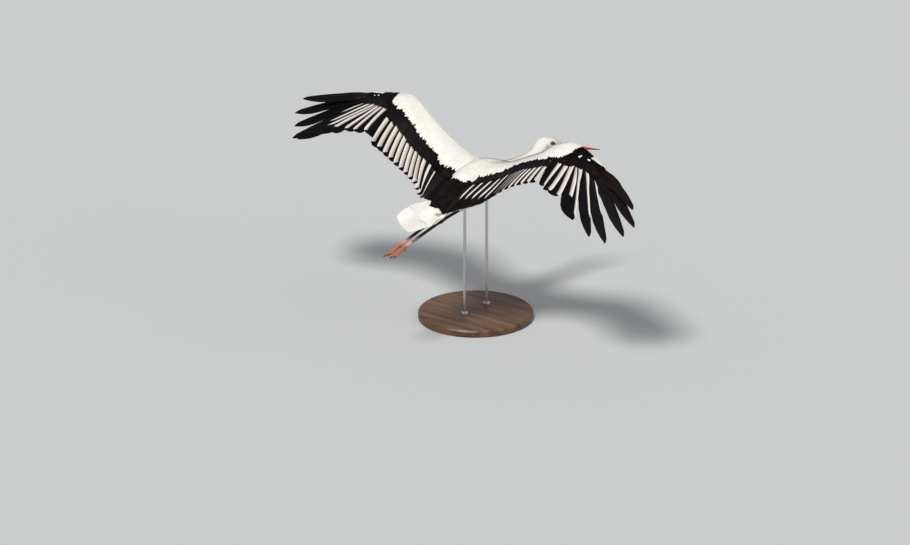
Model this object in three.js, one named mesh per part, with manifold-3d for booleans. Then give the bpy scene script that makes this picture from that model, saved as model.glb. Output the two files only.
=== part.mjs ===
// A white stork in flight on a display stand, life size, in millimetres.
// +Z is up, the bird flies towards -Y and its left side is +X.
// The origin is the centre of the underside of the stand's base.
// Order: sizes, helpers, head and body, wings, tail, legs, stand.

import * as THREE from 'three';
import { mergeVertices } from 'three/addons/utils/BufferGeometryUtils.js';
import Module from 'manifold-3d';

const manifold = await Module();
manifold.setup();

// ---------------------------------------------------------------- driving dimensions

const GAP = 0.4;                    // clearance between two pieces that touch
const SHOULDER_HEIGHT = 640;        // middle of the shoulders above the floor
const SHOULDER_FORWARD = 55;        // and in front of the middle of the base

// Everything on the bird is measured from the middle of the shoulders:
// x to its left, y to its back, z up.

// The body from the face to the rump: centre, half width, height above and below the centre.
const HEAD_CENTRE = new THREE.Vector3(-25, -385, -26);
const HEAD_YAW = 26;                // degrees, the head looks to its right
const HEAD_DROOP = 15;              // degrees, the bill points below level
const HEAD_SECTIONS = [             // y and z are measured along the head's own axes
  { y: -46, z: -4, wide: 12, up: 14, down: 13 },
  { y: -34, z: -2, wide: 19, up: 18.5, down: 18 },
  { y: -16, z: 0, wide: 25.5, up: 24, down: 25 },
  { y: 6, z: 0, wide: 28, up: 25, down: 30 },
  { y: 28, z: -4, wide: 28, up: 23.5, down: 31 },
];
const BODY_SECTIONS = [
  { x: -11, y: -322, z: -52, wide: 28, up: 27, down: 30 },
  { x: -6, y: -282, z: -65, wide: 29, up: 28, down: 31 },
  { x: -2, y: -232, z: -72, wide: 32, up: 31, down: 33 },
  { x: 0, y: -180, z: -74, wide: 38, up: 35, down: 37 },
  { x: 0, y: -128, z: -73, wide: 51, up: 44, down: 46 },
  { x: 0, y: -76, z: -68, wide: 68, up: 60, down: 59 },
  { x: 0, y: -16, z: -64, wide: 81, up: 76, down: 68 },
  { x: 0, y: 54, z: -68, wide: 86, up: 82, down: 72 },
  { x: 0, y: 126, z: -80, wide: 82, up: 76, down: 66 },
  { x: 0, y: 200, z: -92, wide: 70, up: 57, down: 47 },
  { x: 0, y: 262, z: -100, wide: 57, up: 34, down: 32 },
  { x: 0, y: 314, z: -105, wide: 47, up: 16, down: 18 },
];
const NECK_START = -304;            // y of the cut between head and neck
const NECK_MIDDLE = -212;           // y of the cut between the two lengths of neck
const NECK_END = -122;              // y of the cut between neck and trunk

// Bill and eyes, along the head's own axes.
const BILL_LENGTH = 190;
const BILL_BASE_Y = -44;
const BILL_BASE_HALF_WIDTH = 10.5;
const BILL_BASE_UPPER = 15;         // depth of the upper half at the face
const BILL_BASE_LOWER = 12.5;
const BILL_BITE_Z = -6;             // height of the line where the two halves meet
const BILL_RISE = 0.02;             // how much that line rises towards the tip
const BILL_ROOT = 14;               // length of bill seated in the face
const BILL_LEAST = 0.07;            // size of the tip as a share of the base
const BILL_EDGE = 0.35;             // how narrow the ridge is, as a share of the width
const EYE_RADIUS = 8.5;
const EYE_PLACE = { x: 19, y: -2, z: 9 };

// Tail: a fan of stiff feathers, twisted so that its left edge is higher.
const TAIL_ROLL_ROOT = 13;          // degrees
const TAIL_ROLL_TIP = 42;
const TAIL_LEVEL = 2.6;              // the twist sets in over the first third of the length
const TAIL_ROOT = new THREE.Vector3(0, 290, -97);
const TAIL_TIP = new THREE.Vector3(3, 530, -106);
const TAIL_HALF_ROOT = 46;
const TAIL_HALF_WIDE = 53;
const TAIL_FEATHERS = 12;
const TAIL_THICK = 5;
const TAIL_EDGE_THICK = 1;
const TAIL_NOTCH = 0.012;           // depth of the notches between feathers, share of the length
const TAIL_CORNER = 0.05;           // how much shorter the outer feathers are
const TAIL_CROWN = 0.0016;          // per millimetre, how the fan curves down to its edges

// Legs trail straight behind the body, under the tail.
const LEG = {
  knee: { x: 41, y: 52, z: -112 },
  heel: { x: 17, y: 296, z: -155 },
  ankle: { x: 13, y: 522, z: -199 },
};
const THIGH_BARE_FROM = 0.54;       // where the feathers stop, as a share of the shank
const THIGH_RADIUS = 28;
const SHANK_RADIUS = 6.2;
const HEEL_RADIUS = 9.8;
const TARSUS_RADIUS = 6.1;
const ANKLE_RADIUS = 7.5;
const TOES = [                      // direction in degrees from straight back, length, droop
  { turn: 4, length: 66, droop: 12 },
  { turn: -2, length: 84, droop: 10 },
  { turn: -8, length: 70, droop: 14 },
  { turn: 160, length: 27, droop: 38 },
];
const TOE_RADIUS = 5.8;
const CLAW_LENGTH = 12;
const CLAW_SEAT = 3;                // length of claw inside the toe
const CLAW_RADIUS = 2.7;
const CLAW_HOOK = 4;                // how far the point curves down

// Wings. A point of a wing has a place on the spread wing: a, outwards from the shoulder,
// and b, forwards. Angles are in degrees. The sheet of the wing bends up or down along a
// and twists, so that its rear edge is lower than its front edge.
const SHOULDER_HALF_WIDTH = 65;
const FLESH_ROOT = -35;             // a where the flesh starts, inside the trunk's outline
const ELBOW = { a: 185, b: -62 };
const ROOT_BEND = 140;              // length over which the root's rise turns into the arm's
const WRIST_BEND = 160;             // length over which the arm's rise turns into the hand's
const WING_LEFT = {
  side: 1, wristA: 400, wristB: 74, rootRise: 12, armRise: 22.6, handRise: -9.1,
  rootTwist: 19, armTwist: 27.9, midTwist: 13.5, handTwist: 20.5, sweep: 5, frontSlope: 0.005,
  wristSwell: 3, gatherWrist: 0, gatherMiddle: 0, rearMore: 0,
};
const WING_RIGHT = {
  side: -1, wristA: 395, wristB: 49, rootRise: 12, armRise: 25.9, handRise: -17.6,
  rootTwist: 19, armTwist: 26.1, midTwist: -7, handTwist: 24.3, sweep: 6.5, frontSlope: 0.12,
  wristSwell: 13, gatherWrist: 28, gatherMiddle: 30, rearMore: 26,
};
const ARCH_HEIGHT = 20;             // how far the arm's sheet bulges between its edges
const ARM_COVERT_REAR = -86;        // b of the rear edge of the coverts on the arm
const HAND_LENGTH = 190;
const HAND_END_CHORD = 44;
const HAND_FRONT_BEND = 0.00038;    // per millimetre, how the hand's front edge curves back
const ROOT_FRONT = 22;              // b of the front edge at the shoulder
const WRIST_FRONT = 6;              // and in front of the wrist's joint
const FRONT_HOLLOW = 10;            // how far the skin between shoulder and wrist falls back
const ARM_THICK = 23;               // half thickness of flesh and coverts at the shoulder
const WRIST_THICK = 13;
const SWELL_AT = 325;               // a where the bunched coverts of the wrist stand highest
const SWELL_LENGTH = 52;
const HAND_THICK = 4;
// Primaries, outermost first. The root: distance past the wrist. The tip: distance from the
// wrist, angle behind the wing's long axis, lift out of the wing's sheet. The feather: forward
// bow, width of its inner web at the base and past the notch, and where its round end begins.
const PRIMARIES = [
  { root: 178, reach: 450, angle: 13.4, lift: 4.6, bow: 0.06, base: 38, web: 27, round: 0 },
  { root: 146, reach: 497, angle: 15.8, lift: -1.4, bow: 0.035, base: 40, web: 30, round: 0 },
  { root: 108, reach: 500, angle: 21.4, lift: -4.7, bow: 0.02, base: 42, web: 31, round: 0 },
  { root: 76, reach: 505, angle: 30.2, lift: -5.2, bow: 0.01, base: 43, web: 33, round: 0 },
  { root: 56, reach: 478, angle: 37.1, lift: -2.9, bow: 0.01, base: 44, web: 34, round: 0 },
  { root: 40, reach: 413, angle: 45.1, lift: 0.8, bow: 0.01, base: 48, web: 44, round: 0 },
  { root: 28, reach: 345, angle: 51, lift: 0.66, bow: 0.02, base: 44, web: 40, round: 0.9 },
  { root: 18, reach: 300, angle: 60, lift: 0.8, bow: 0.02, base: 44, web: 40, round: 0.9 },
  { root: 8, reach: 285, angle: 69, lift: 0.9, bow: 0.02, base: 44, web: 40, round: 0.9 },
  { root: -2, reach: 262, angle: 81, lift: 1.05, bow: 0.02, base: 62, web: 56, round: 0.9 },
];
const FINGERS = 6;                  // primaries with separate, pointed ends
const FINGER_OUTER_WEB = 11;        // width of their outer web past the notch
const FINGER_TIP_OUTER = 24;        // length of the rounding of the outer edge at the tip
const FINGER_TIP_INNER = 150;       // and of the inner edge, which curves in to the tip
const OUTER_SHARE = 0.34;           // share of the space between two shafts for the outer web
const TIP_CROWDING = 1.6;           // how much closer the sections stand near a feather's tip
const SECONDARIES = 9;
const TERTIALS = 5;
const TERTIAL_ROOT = { a: -8, b: -50 };
// The rear edge of the inner wing, b at shares of the wrist's distance.
const REAR_EDGE = [
  { share: -0.08, b: -304 },
  { share: 0.03, b: -281 },
  { share: 0.235, b: -212 },
  { share: 0.42, b: -202 },
  { share: 0.62, b: -198 },
  { share: 0.78, b: -197 },
  { share: 0.95, b: -206 },
];
const INNER_RISE = 5;               // how far their rear edge is raised out of the sheet
const TERTIAL_RISE = 5;             // and how much more at the last tertial
const SCALLOP = 0.22;               // depth of the notches between the tips of the secondaries
const FEATHER_GAP = 1;              // between two primaries, on the spread plan
const OUTER_WEB = 19;               // width of a primary's outer web
const COVERT_GAP = 1.5;             // clearance between coverts and flight feathers
const QUILL_THICK = 1.7;            // half thickness of a flight feather at its base
const TIP_THICK = 0.6;
const ALULA = { from: 22, to: 106, front: 8, wide: 24, lift: 1.4, thick: 1.6 };

// Scapulars: long feathers that lie over the back between the wings, one patch to a side.
const SCAPULAR_MIDLINE = 1.2;       // degrees from the ridge of the back
const SCAPULAR_SIDE = 84;
const SCAPULAR_FRONT_MIDLINE = 168; // y of the front edge on the ridge
const SCAPULAR_FRONT_SIDE = 96;     // and at the side
const SCAPULAR_REAR = 311;
const SCAPULAR_POINT = 60;          // how much further the middle of the rear edge reaches
const SCAPULAR_LIFT = 1.2;          // underside above the back
const SCAPULAR_THICK = 4;

// Stand.
const BASE_RADIUS = 230;
const BASE_THICK = 28;
const BASE_CHAMFER = 6;
const ROD_RADIUS = 6;
const ROD_PLACES = [-70, 70];       // y of the two rods under the belly
const ROD_END_DEPTH = 60;           // the rods run on to this depth before the body trims them
const SOCKET_RADIUS = 15;
const SOCKET_HEIGHT = 16;

// ---------------------------------------------------------------- materials

const paint = (colour, roughness, metalness = 0) => new THREE.MeshStandardMaterial({
  color: colour,
  roughness,
  metalness,
});
const WHITE_PLUMAGE = paint(0xf6efe4, 0.85);
const BLACK_PLUMAGE = paint(0x14110f, 0.6);
const BILL_RED = paint(0x8e2a22, 0.45);
const EYE_DARK = paint(0x0b0a0a, 0.1);
const LEG_RED = paint(0x8c4038, 0.6);
const FOOT_RED = paint(0xb8553c, 0.6);
const STAND_WOOD = paint(0x5b3b25, 0.5);
const STAND_STEEL = paint(0xb9bcc0, 0.3, 1);

// ---------------------------------------------------------------- small helpers

const radians = THREE.MathUtils.degToRad;
const mix = THREE.MathUtils.lerp;
const ease = (value) => THREE.MathUtils.smoothstep(value, 0, 1);
const share = (value, from, to) => THREE.MathUtils.clamp((value - from) / (to - from), 0, 1);

const bird = new THREE.Group();
bird.position.set(0, -SHOULDER_FORWARD, SHOULDER_HEIGHT);
const stand = new THREE.Group();
const model = new THREE.Group();
model.add(bird, stand);

function addPiece(parent, name, geometry, material) {
  const mesh = new THREE.Mesh(geometry, material);
  mesh.name = name;
  parent.add(mesh);
  return mesh;
}

// Moves every corner of a closed three.js shape, merges equal corners and turns it right side out.
function reshape(geometry, place) {
  const position = geometry.getAttribute('position');
  const point = new THREE.Vector3();
  for (let i = 0; i < position.count; i += 1) {
    point.fromBufferAttribute(position, i);
    const moved = place(point);
    position.setXYZ(i, moved.x, moved.y, moved.z);
  }
  return closed(geometry);
}

function closed(geometry) {
  const shape = geometry.clone();
  shape.deleteAttribute('normal');
  shape.deleteAttribute('uv');
  const merged = mergeVertices(shape, 1e-3);
  const position = merged.getAttribute('position');
  const index = merged.index.array;
  const kept = [];
  const a = new THREE.Vector3();
  const b = new THREE.Vector3();
  const c = new THREE.Vector3();
  let volume = 0;
  for (let i = 0; i < index.length; i += 3) {
    const [p, q, r] = [index[i], index[i + 1], index[i + 2]];
    if (p === q || q === r || r === p) continue;
    a.fromBufferAttribute(position, p);
    b.fromBufferAttribute(position, q);
    c.fromBufferAttribute(position, r);
    volume += a.dot(b.cross(c));
    kept.push(p, q, r);
  }
  if (volume < 0) kept.reverse();
  merged.setIndex(kept);
  return merged;
}

// A tube of sections: along runs from 0 to 1, around is an angle, out is 0 on the axis of
// an end and 1 on the surface.
function loft(around, along, place) {
  const tube = new THREE.CylinderGeometry(1, 1, 1, around, along);
  return reshape(tube, (point) => {
    const out = Math.min(1, Math.hypot(point.x, point.z));
    return place(point.y + 0.5, Math.atan2(point.x, point.z), out);
  });
}

// A thin blade: along runs from 0 to 1, across from -1 to 1, face is -1 or 1.
function blade(acrossSteps, alongSteps, place) {
  const box = new THREE.BoxGeometry(2, 1, 2, acrossSteps, alongSteps, 1);
  return reshape(box, (point) => place(point.y + 0.5, point.x, Math.sign(point.z)));
}

function toSolid(geometry) {
  return new manifold.Manifold(new manifold.Mesh({
    numProp: 3,
    vertProperties: new Float32Array(geometry.getAttribute('position').array),
    triVerts: new Uint32Array(geometry.index.array),
  }));
}

function toGeometry(solid) {
  const mesh = solid.getMesh();
  const geometry = new THREE.BufferGeometry();
  geometry.setAttribute('position', new THREE.BufferAttribute(mesh.vertProperties, 3));
  geometry.setIndex(new THREE.BufferAttribute(mesh.triVerts, 1));
  return geometry;
}

const cut = (geometry, ...tools) => toGeometry(
  tools.reduce((solid, tool) => solid.subtract(toSolid(tool)), toSolid(geometry)),
);

// Smooth value through rows of sizes, by Catmull-Rom through the two rows around the place.
function through(rows, place, value) {
  const last = rows.length - 1;
  const at = THREE.MathUtils.clamp(place, 0, 1) * last;
  const row = Math.min(last - 1, Math.floor(at));
  const t = at - row;
  const before = rows[Math.max(0, row - 1)][value];
  const here = rows[row][value];
  const next = rows[row + 1][value];
  const after = rows[Math.min(last, row + 2)][value];
  const slopeHere = (next - before) / 2;
  const slopeNext = (after - here) / 2;
  const cubic = 2 * here - 2 * next + slopeHere + slopeNext;
  const square = 3 * next - 3 * here - 2 * slopeHere - slopeNext;
  return ((cubic * t + square) * t + slopeHere) * t + here;
}

// ---------------------------------------------------------------- head, neck and trunk

const headTurn = new THREE.Matrix4()
  .makeRotationZ(radians(-HEAD_YAW))
  .multiply(new THREE.Matrix4().makeRotationX(radians(HEAD_DROOP)));
const fromHead = (x, y, z) => new THREE.Vector3(x, y, z).applyMatrix4(headTurn).add(HEAD_CENTRE);

const AXIS = [
  ...HEAD_SECTIONS.map(({ y, z, wide, up, down }) => {
    const centre = fromHead(0, y, z);
    return { x: centre.x, y: centre.y, z: centre.z, wide, up, down };
  }),
  ...BODY_SECTIONS,
];

// Centre and size of the body's section at a place between 0, the face, and 1, the rump.
function bodySection(place) {
  const step = 0.004;
  const centreAt = (at) => new THREE.Vector3(
    through(AXIS, at, 'x'),
    through(AXIS, at, 'y'),
    through(AXIS, at, 'z'),
  );
  const centre = centreAt(place);
  const ahead = centreAt(Math.min(1, place + step));
  const behind = centreAt(Math.max(0, place - step));
  const back = ahead.sub(behind).normalize();
  const left = new THREE.Vector3().crossVectors(back, new THREE.Vector3(0, 0, 1)).normalize();
  const up = new THREE.Vector3().crossVectors(left, back).normalize();
  return {
    centre,
    left,
    up,
    wide: through(AXIS, place, 'wide'),
    high: through(AXIS, place, 'up'),
    low: through(AXIS, place, 'down'),
  };
}

// A point of the body's surface, grown outwards by a margin.
function bodyPoint(place, angle, out, margin = 0) {
  const { centre, left, up, wide, high, low } = bodySection(place);
  const across = Math.sin(angle);
  const tall = Math.cos(angle);
  const height = tall > 0 ? high : low;
  return centre
    .addScaledVector(left, out * across * (wide + margin))
    .addScaledVector(up, out * tall * (height + margin));
}

// Place along the axis where the body's centre reaches a given y.
function placeAtY(y) {
  let from = 0;
  let to = 1;
  for (let i = 0; i < 30; i += 1) {
    const middle = (from + to) / 2;
    if (through(AXIS, middle, 'y') < y) from = middle;
    else to = middle;
  }
  return from;
}

function bodyLength(fromPlace, toPlace, around, along, margin = 0) {
  return loft(around, along, (t, angle, out) => (
    bodyPoint(mix(fromPlace, toPlace, t), angle, out, margin)
  ));
}

function halfGapIn(place) {
  const step = 0.002;
  const length = bodySection(place + step).centre.distanceTo(bodySection(place - step).centre);
  return GAP / 2 / length * 2 * step;
}

const neckStart = placeAtY(NECK_START);
const neckMiddle = placeAtY(NECK_MIDDLE);
const neckEnd = placeAtY(NECK_END);

function billHalf(upper, margin = 0) {
  const sign = upper ? 1 : -1;
  const depth = upper ? BILL_BASE_UPPER : BILL_BASE_LOWER;
  const start = BILL_BASE_Y + BILL_ROOT + margin;
  const tip = BILL_BASE_Y - BILL_LENGTH;
  const split = GAP / 2 - margin;
  return loft(10, 7, (t, angle, out) => {
    const along = mix(start, tip, t);
    const taper = Math.max(BILL_LEAST, 1 - 0.42 * t - 1.02 * ease(t / 2));
    const half = (BILL_BASE_HALF_WIDTH + margin) * taper;
    const across = Math.sin(angle) * out;
    const tall = (Math.cos(angle) * out + 1) / 2;
    const rise = tall * (depth * taper + 2 * margin);
    const pinch = mix(BILL_EDGE, 1, Math.sqrt(1 - 0.9 * tall * tall));
    const bite = BILL_BITE_Z + BILL_RISE * (BILL_BASE_Y - along);
    return fromHead(across * half * pinch, along, bite + sign * (split + rise));
  });
}

function eyeBall(sign, margin = 0) {
  const ball = new THREE.SphereGeometry(EYE_RADIUS + margin, 10, 6);
  return reshape(ball, (point) => (
    fromHead(point.x + sign * EYE_PLACE.x, point.y + EYE_PLACE.y, point.z + EYE_PLACE.z)
  ));
}

function buildHead() {
  const shape = bodyLength(0, neckStart - halfGapIn(neckStart), 14, 9);
  const head = cut(
    shape,
    billHalf(true, 1.2 * GAP),
    billHalf(false, 1.2 * GAP),
    eyeBall(1, GAP),
    eyeBall(-1, GAP),
  );
  addPiece(bird, 'head', head, WHITE_PLUMAGE);
  addPiece(bird, 'bill_upper', billHalf(true), BILL_RED);
  addPiece(bird, 'bill_lower', billHalf(false), BILL_RED);
  addPiece(bird, 'eye_left', eyeBall(1), EYE_DARK);
  addPiece(bird, 'eye_right', eyeBall(-1), EYE_DARK);
}

function buildNeck() {
  const first = neckStart + halfGapIn(neckStart);
  const beforeMiddle = neckMiddle - halfGapIn(neckMiddle);
  const afterMiddle = neckMiddle + halfGapIn(neckMiddle);
  const last = neckEnd - halfGapIn(neckEnd);
  addPiece(bird, 'neck_upper', bodyLength(first, beforeMiddle, 14, 5), WHITE_PLUMAGE);
  addPiece(bird, 'neck_lower', bodyLength(afterMiddle, last, 14, 5), WHITE_PLUMAGE);
}

const trunkStart = neckEnd + halfGapIn(neckEnd);
const trunkShape = (margin = 0) => bodyLength(trunkStart, 1, 20, 12, margin);

// One patch of scapulars, grown by a margin: it starts on the ridge of the back, widens
// towards the wing's root and ends in a rounded point beside the tail.
function scapularShape(side, margin = 0) {
  return blade(6, 6, (t, across, face) => {
    const outward = (across + 1) / 2;
    const overEdge = margin * across * 1.5;
    const angle = radians(mix(SCAPULAR_MIDLINE, SCAPULAR_SIDE, outward) + overEdge);
    const front = mix(SCAPULAR_FRONT_MIDLINE, SCAPULAR_FRONT_SIDE, outward) - 2 * margin;
    const rear = SCAPULAR_REAR - SCAPULAR_POINT * (2 * outward - 0.8) ** 2 + 2 * margin;
    const place = placeAtY(Math.min(mix(front, rear, t), BODY_SECTIONS.at(-1).y - 0.5));
    const under = SCAPULAR_LIFT - margin;
    const over = SCAPULAR_LIFT + SCAPULAR_THICK * (1 - 0.6 * t) + margin;
    return bodyPoint(place, side * angle, 1, face > 0 ? over : under);
  });
}

// ---------------------------------------------------------------- wings

// The sheet of one wing: tables of its long axis, worked out once in short steps.
function wingSheet(pose) {
  const step = 5;
  const start = -80;
  const rise = (a) => radians(
    pose.rootRise
    + (pose.armRise - pose.rootRise) * ease(a / ROOT_BEND)
    + (pose.handRise - pose.armRise) * ease((a - pose.wristA + 70) / WRIST_BEND),
  );
  const twist = (a) => {
    const along = share(a, 0, pose.wristA);
    return radians(
      pose.rootTwist
      + (pose.armTwist - pose.rootTwist) * ease((a + 20) / ROOT_BEND)
      + (pose.handTwist - pose.armTwist) * ease((a - pose.wristA + 70) / WRIST_BEND)
      + pose.midTwist * 4 * along * (1 - along),
    );
  };
  const axis = [];
  let x = start * Math.cos(rise(0));
  let z = start * Math.sin(rise(0));
  for (let a = start; a < 1100; a += step) {
    axis.push({ x, z });
    x += step * Math.cos(rise(a + step / 2));
    z += step * Math.sin(rise(a + step / 2));
  }
  return (a, b, height = 0) => {
    const at = share(a, start, start + step * (axis.length - 1)) * (axis.length - 1);
    const row = Math.min(axis.length - 2, Math.floor(at));
    const along = new THREE.Vector3(
      SHOULDER_HALF_WIDTH + mix(axis[row].x, axis[row + 1].x, at - row),
      0,
      mix(axis[row].z, axis[row + 1].z, at - row),
    );
    const up = new THREE.Vector3(-Math.sin(rise(a)), 0, Math.cos(rise(a)));
    const ahead = new THREE.Vector3(0, -1, 0);
    const turn = twist(a);
    const forward = ahead.clone().multiplyScalar(Math.cos(turn)).addScaledVector(up, Math.sin(turn));
    const normal = up.clone().multiplyScalar(Math.cos(turn)).addScaledVector(ahead, -Math.sin(turn));
    const point = along.addScaledVector(forward, b);
    point.addScaledVector(normal, height + arch(pose, a, b));
    point.x *= pose.side;
    return point;
  };
}

// Front edge of the wing on the spread plan.
function frontEdge(pose, a) {
  const top = pose.wristB + WRIST_FRONT;
  const knuckle = pose.wristA - 15;
  if (a < knuckle) {
    const along = share(a, 0, knuckle);
    return mix(ROOT_FRONT, top, along ** 1.12) - FRONT_HOLLOW * Math.sin(Math.PI * along);
  }
  const out = a - knuckle;
  return top - WRIST_FRONT * ease(out / 60) - pose.frontSlope * out - HAND_FRONT_BEND * out * out;
}

function rearEdge(pose, a) {
  const at = a / pose.wristA;
  const along = THREE.MathUtils.clamp(1 - at, 0, 1.2);
  const more = pose.rearMore * (1 - ease(share(along, 0.2, 0.5)));
  const last = REAR_EDGE.length - 1;
  for (let row = 0; row < last; row += 1) {
    const here = REAR_EDGE[row];
    const next = REAR_EDGE[row + 1];
    if (at <= next.share || row === last - 1) {
      return mix(here.b, next.b, share(at, here.share, next.share)) - more;
    }
  }
  return REAR_EDGE[last].b - more;
}

function arch(pose, a, b) {
  const front = frontEdge(pose, a);
  const rear = Math.min(-190, rearEdge(pose, a));
  const back = share(b, front, rear);
  const fade = 1 - 0.9 * ease((a - pose.wristA + 20) / 140);
  return ARCH_HEIGHT * fade * 4 * back * (1 - back);
}

// Rear edge of flesh and coverts on the spread plan, where the flight feathers come out.
function covertRear(pose, a) {
  const start = pose.wristA - 38;
  const end = pose.wristA + HAND_LENGTH;
  if (a < start) return mix(-112, ARM_COVERT_REAR, ease(a / 190));
  return mix(ARM_COVERT_REAR, frontEdge(pose, end) - HAND_END_CHORD, (a - start) / (end - start));
}

// Place of a flight feather's centre line on the spread plan. Number 0 is the outermost
// primary; the secondaries follow the primaries, and the tertials follow them.
function featherLine(pose, number) {
  const primaryCount = PRIMARIES.length;
  if (number < primaryCount) {
    const { reach, angle, bow } = PRIMARIES[Math.max(0, number)];
    const inward = Math.max(0, number) / (primaryCount - 1);
    const rootA = pose.wristA + PRIMARIES[Math.max(0, number)].root;
    const swing = radians(angle + pose.sweep - (number < 0 ? 6 : 0));
    return {
      root: { a: rootA, b: frontEdge(pose, rootA) - mix(17, 40, inward) + (number < 0 ? 20 : 0) },
      tip: {
        a: pose.wristA + reach * Math.cos(swing),
        b: pose.wristB - reach * Math.sin(swing) + (number < 0 ? 20 : 0),
      },
      bow,
    };
  }
  const inner = number - primaryCount;
  const span = SECONDARIES + TERTIALS - 1;
  const along = inner / span;
  const gather = pose.gatherWrist * (1 - along) + pose.gatherMiddle * Math.sin(Math.PI * along);
  const tipA = mix(0.87 * pose.wristA, -42, along ** 0.95) - gather;
  const fromWrist = Math.min(1, inner / (SECONDARIES - 1));
  const past = Math.max(0, inner - SECONDARIES + 1) / TERTIALS;
  return {
    root: {
      a: mix(mix(pose.wristA - 22, ELBOW.a, fromWrist), TERTIAL_ROOT.a, past),
      b: mix(mix(pose.wristB - 30, ELBOW.b, fromWrist), TERTIAL_ROOT.b, past),
    },
    tip: { a: tipA, b: rearEdge(pose, tipA) },
    bow: 0.02,
  };
}

// A point of a feather's centre line, which bows forwards between root and tip.
function onLine({ root, tip, bow }, t) {
  const push = bow * 4 * t * (1 - t);
  return {
    a: mix(root.a, tip.a, t) + push * (root.b - tip.b),
    b: mix(root.b, tip.b, t) + push * (tip.a - root.a),
  };
}

// Widths of a primary's outer and inner web at t. The webs of the outer ones narrow at a
// notch; their outer edge stays straight to the tip and the inner edge curves in to it.
function outerWeb(number, t, toTip) {
  if (number >= FINGERS) return OUTER_WEB * Math.sqrt(Math.max(0, 1 - share(t, 0.9, 1) ** 2.4));
  const wide = mix(OUTER_WEB - 2, FINGER_OUTER_WEB, ease(share(t, 0.3, 0.48)));
  return wide * Math.sqrt(Math.min(1, toTip / FINGER_TIP_OUTER));
}

function innerWeb(number, t, toTip) {
  const { base, web, round } = PRIMARIES[number];
  const wide = mix(base, web, ease(share(t, 0.3, 0.48)));
  if (number >= FINGERS) return wide * Math.sqrt(Math.max(0, 1 - share(t, round, 1) ** 2.4));
  return wide * (1 - (1 - Math.min(1, toTip / FINGER_TIP_INNER)) ** 2.2);
}

// A point of the spread plan inside feather `number`, across from -1, its outer edge,
// to 1, its inner edge.
function inFeather(pose, number, t, across) {
  const line = featherLine(pose, number);
  const beyond = number + (across < 0 ? -1 : 1);
  const here = onLine(line, t);
  const there = onLine(featherLine(pose, beyond), t);
  const apart = Math.hypot(there.a - here.a, there.b - here.b);
  const toTip = (1 - t) * Math.hypot(line.tip.a - line.root.a, line.tip.b - line.root.b);
  let room = apart / 2;
  if (across < 0 && number > 0) room = apart * OUTER_SHARE;
  if (across > 0 && beyond < PRIMARIES.length) {
    room = apart - Math.min(apart * OUTER_SHARE, outerWeb(beyond, t, toTip));
  }
  const web = across < 0 ? outerWeb(number, t, toTip) : innerWeb(number, t, toTip);
  const half = Math.max(0.6, Math.min(room - FEATHER_GAP / 2, web));
  const reach = Math.abs(across) * half / apart;
  return { a: mix(here.a, there.a, reach), b: mix(here.b, there.b, reach) };
}

// Share of a feather's length at which it leaves the coverts.
function showingFrom(pose, handEnd, placeAt) {
  let inside = 0.02;
  let outside = 0.9;
  for (let i = 0; i < 24; i += 1) {
    const middle = (inside + outside) / 2;
    const { a, b } = placeAt(middle);
    const clear = b < covertRear(pose, a) - COVERT_GAP || a > handEnd + COVERT_GAP;
    if (clear) outside = middle;
    else inside = middle;
  }
  return outside;
}

function fleshThickness(pose, a) {
  const handEnd = pose.wristA + HAND_LENGTH;
  const swell = pose.wristSwell * Math.exp(-(((a - SWELL_AT) / SWELL_LENGTH) ** 2));
  if (a < pose.wristA) return mix(ARM_THICK, WRIST_THICK, ease(share(a, 0, pose.wristA))) + swell;
  return mix(WRIST_THICK, HAND_THICK, share(a, pose.wristA, handEnd));
}

// Height of the upper surface above the wing's sheet; back is 0 at the front edge, 1 at the rear.
function fleshTop(pose, a, back) {
  return fleshThickness(pose, a) * 2 * Math.sqrt(back * (1 - back)) * (1 - 0.62 * back);
}

// One length of flesh and coverts, with a rounded front and a thin rear edge.
function wingFlesh(pose, sheet, fromA, toA, along, around = 14) {
  return loft(around, along, (t, angle, out) => {
    const a = mix(fromA, toA, t);
    const back = (1 - Math.cos(angle)) / 2;
    const thick = fleshTop(pose, a, back);
    const height = (Math.sin(angle) > 0 ? thick : -0.72 * thick) * out;
    const middle = mix(frontEdge(pose, a), covertRear(pose, a), 0.45);
    const b = mix(middle, mix(frontEdge(pose, a), covertRear(pose, a), back), out);
    return sheet(a, b, height);
  });
}

// The alula: a few stiff feathers on the thumb, lying over the front of the hand.
function alulaShape(pose, sheet) {
  return blade(3, 4, (t, across, face) => {
    const a = pose.wristA + mix(ALULA.from, ALULA.to, t);
    const front = frontEdge(pose, a);
    const narrow = Math.sqrt(1 - 0.9 * t * t);
    const b = front - ALULA.front - ALULA.wide * (1 - narrow + narrow * (across + 1)) / 2;
    const back = share(b, front, covertRear(pose, a));
    const under = fleshTop(pose, a, back) + ALULA.lift;
    return sheet(a, b, under + (face + 1) / 2 * ALULA.thick);
  });
}

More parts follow.
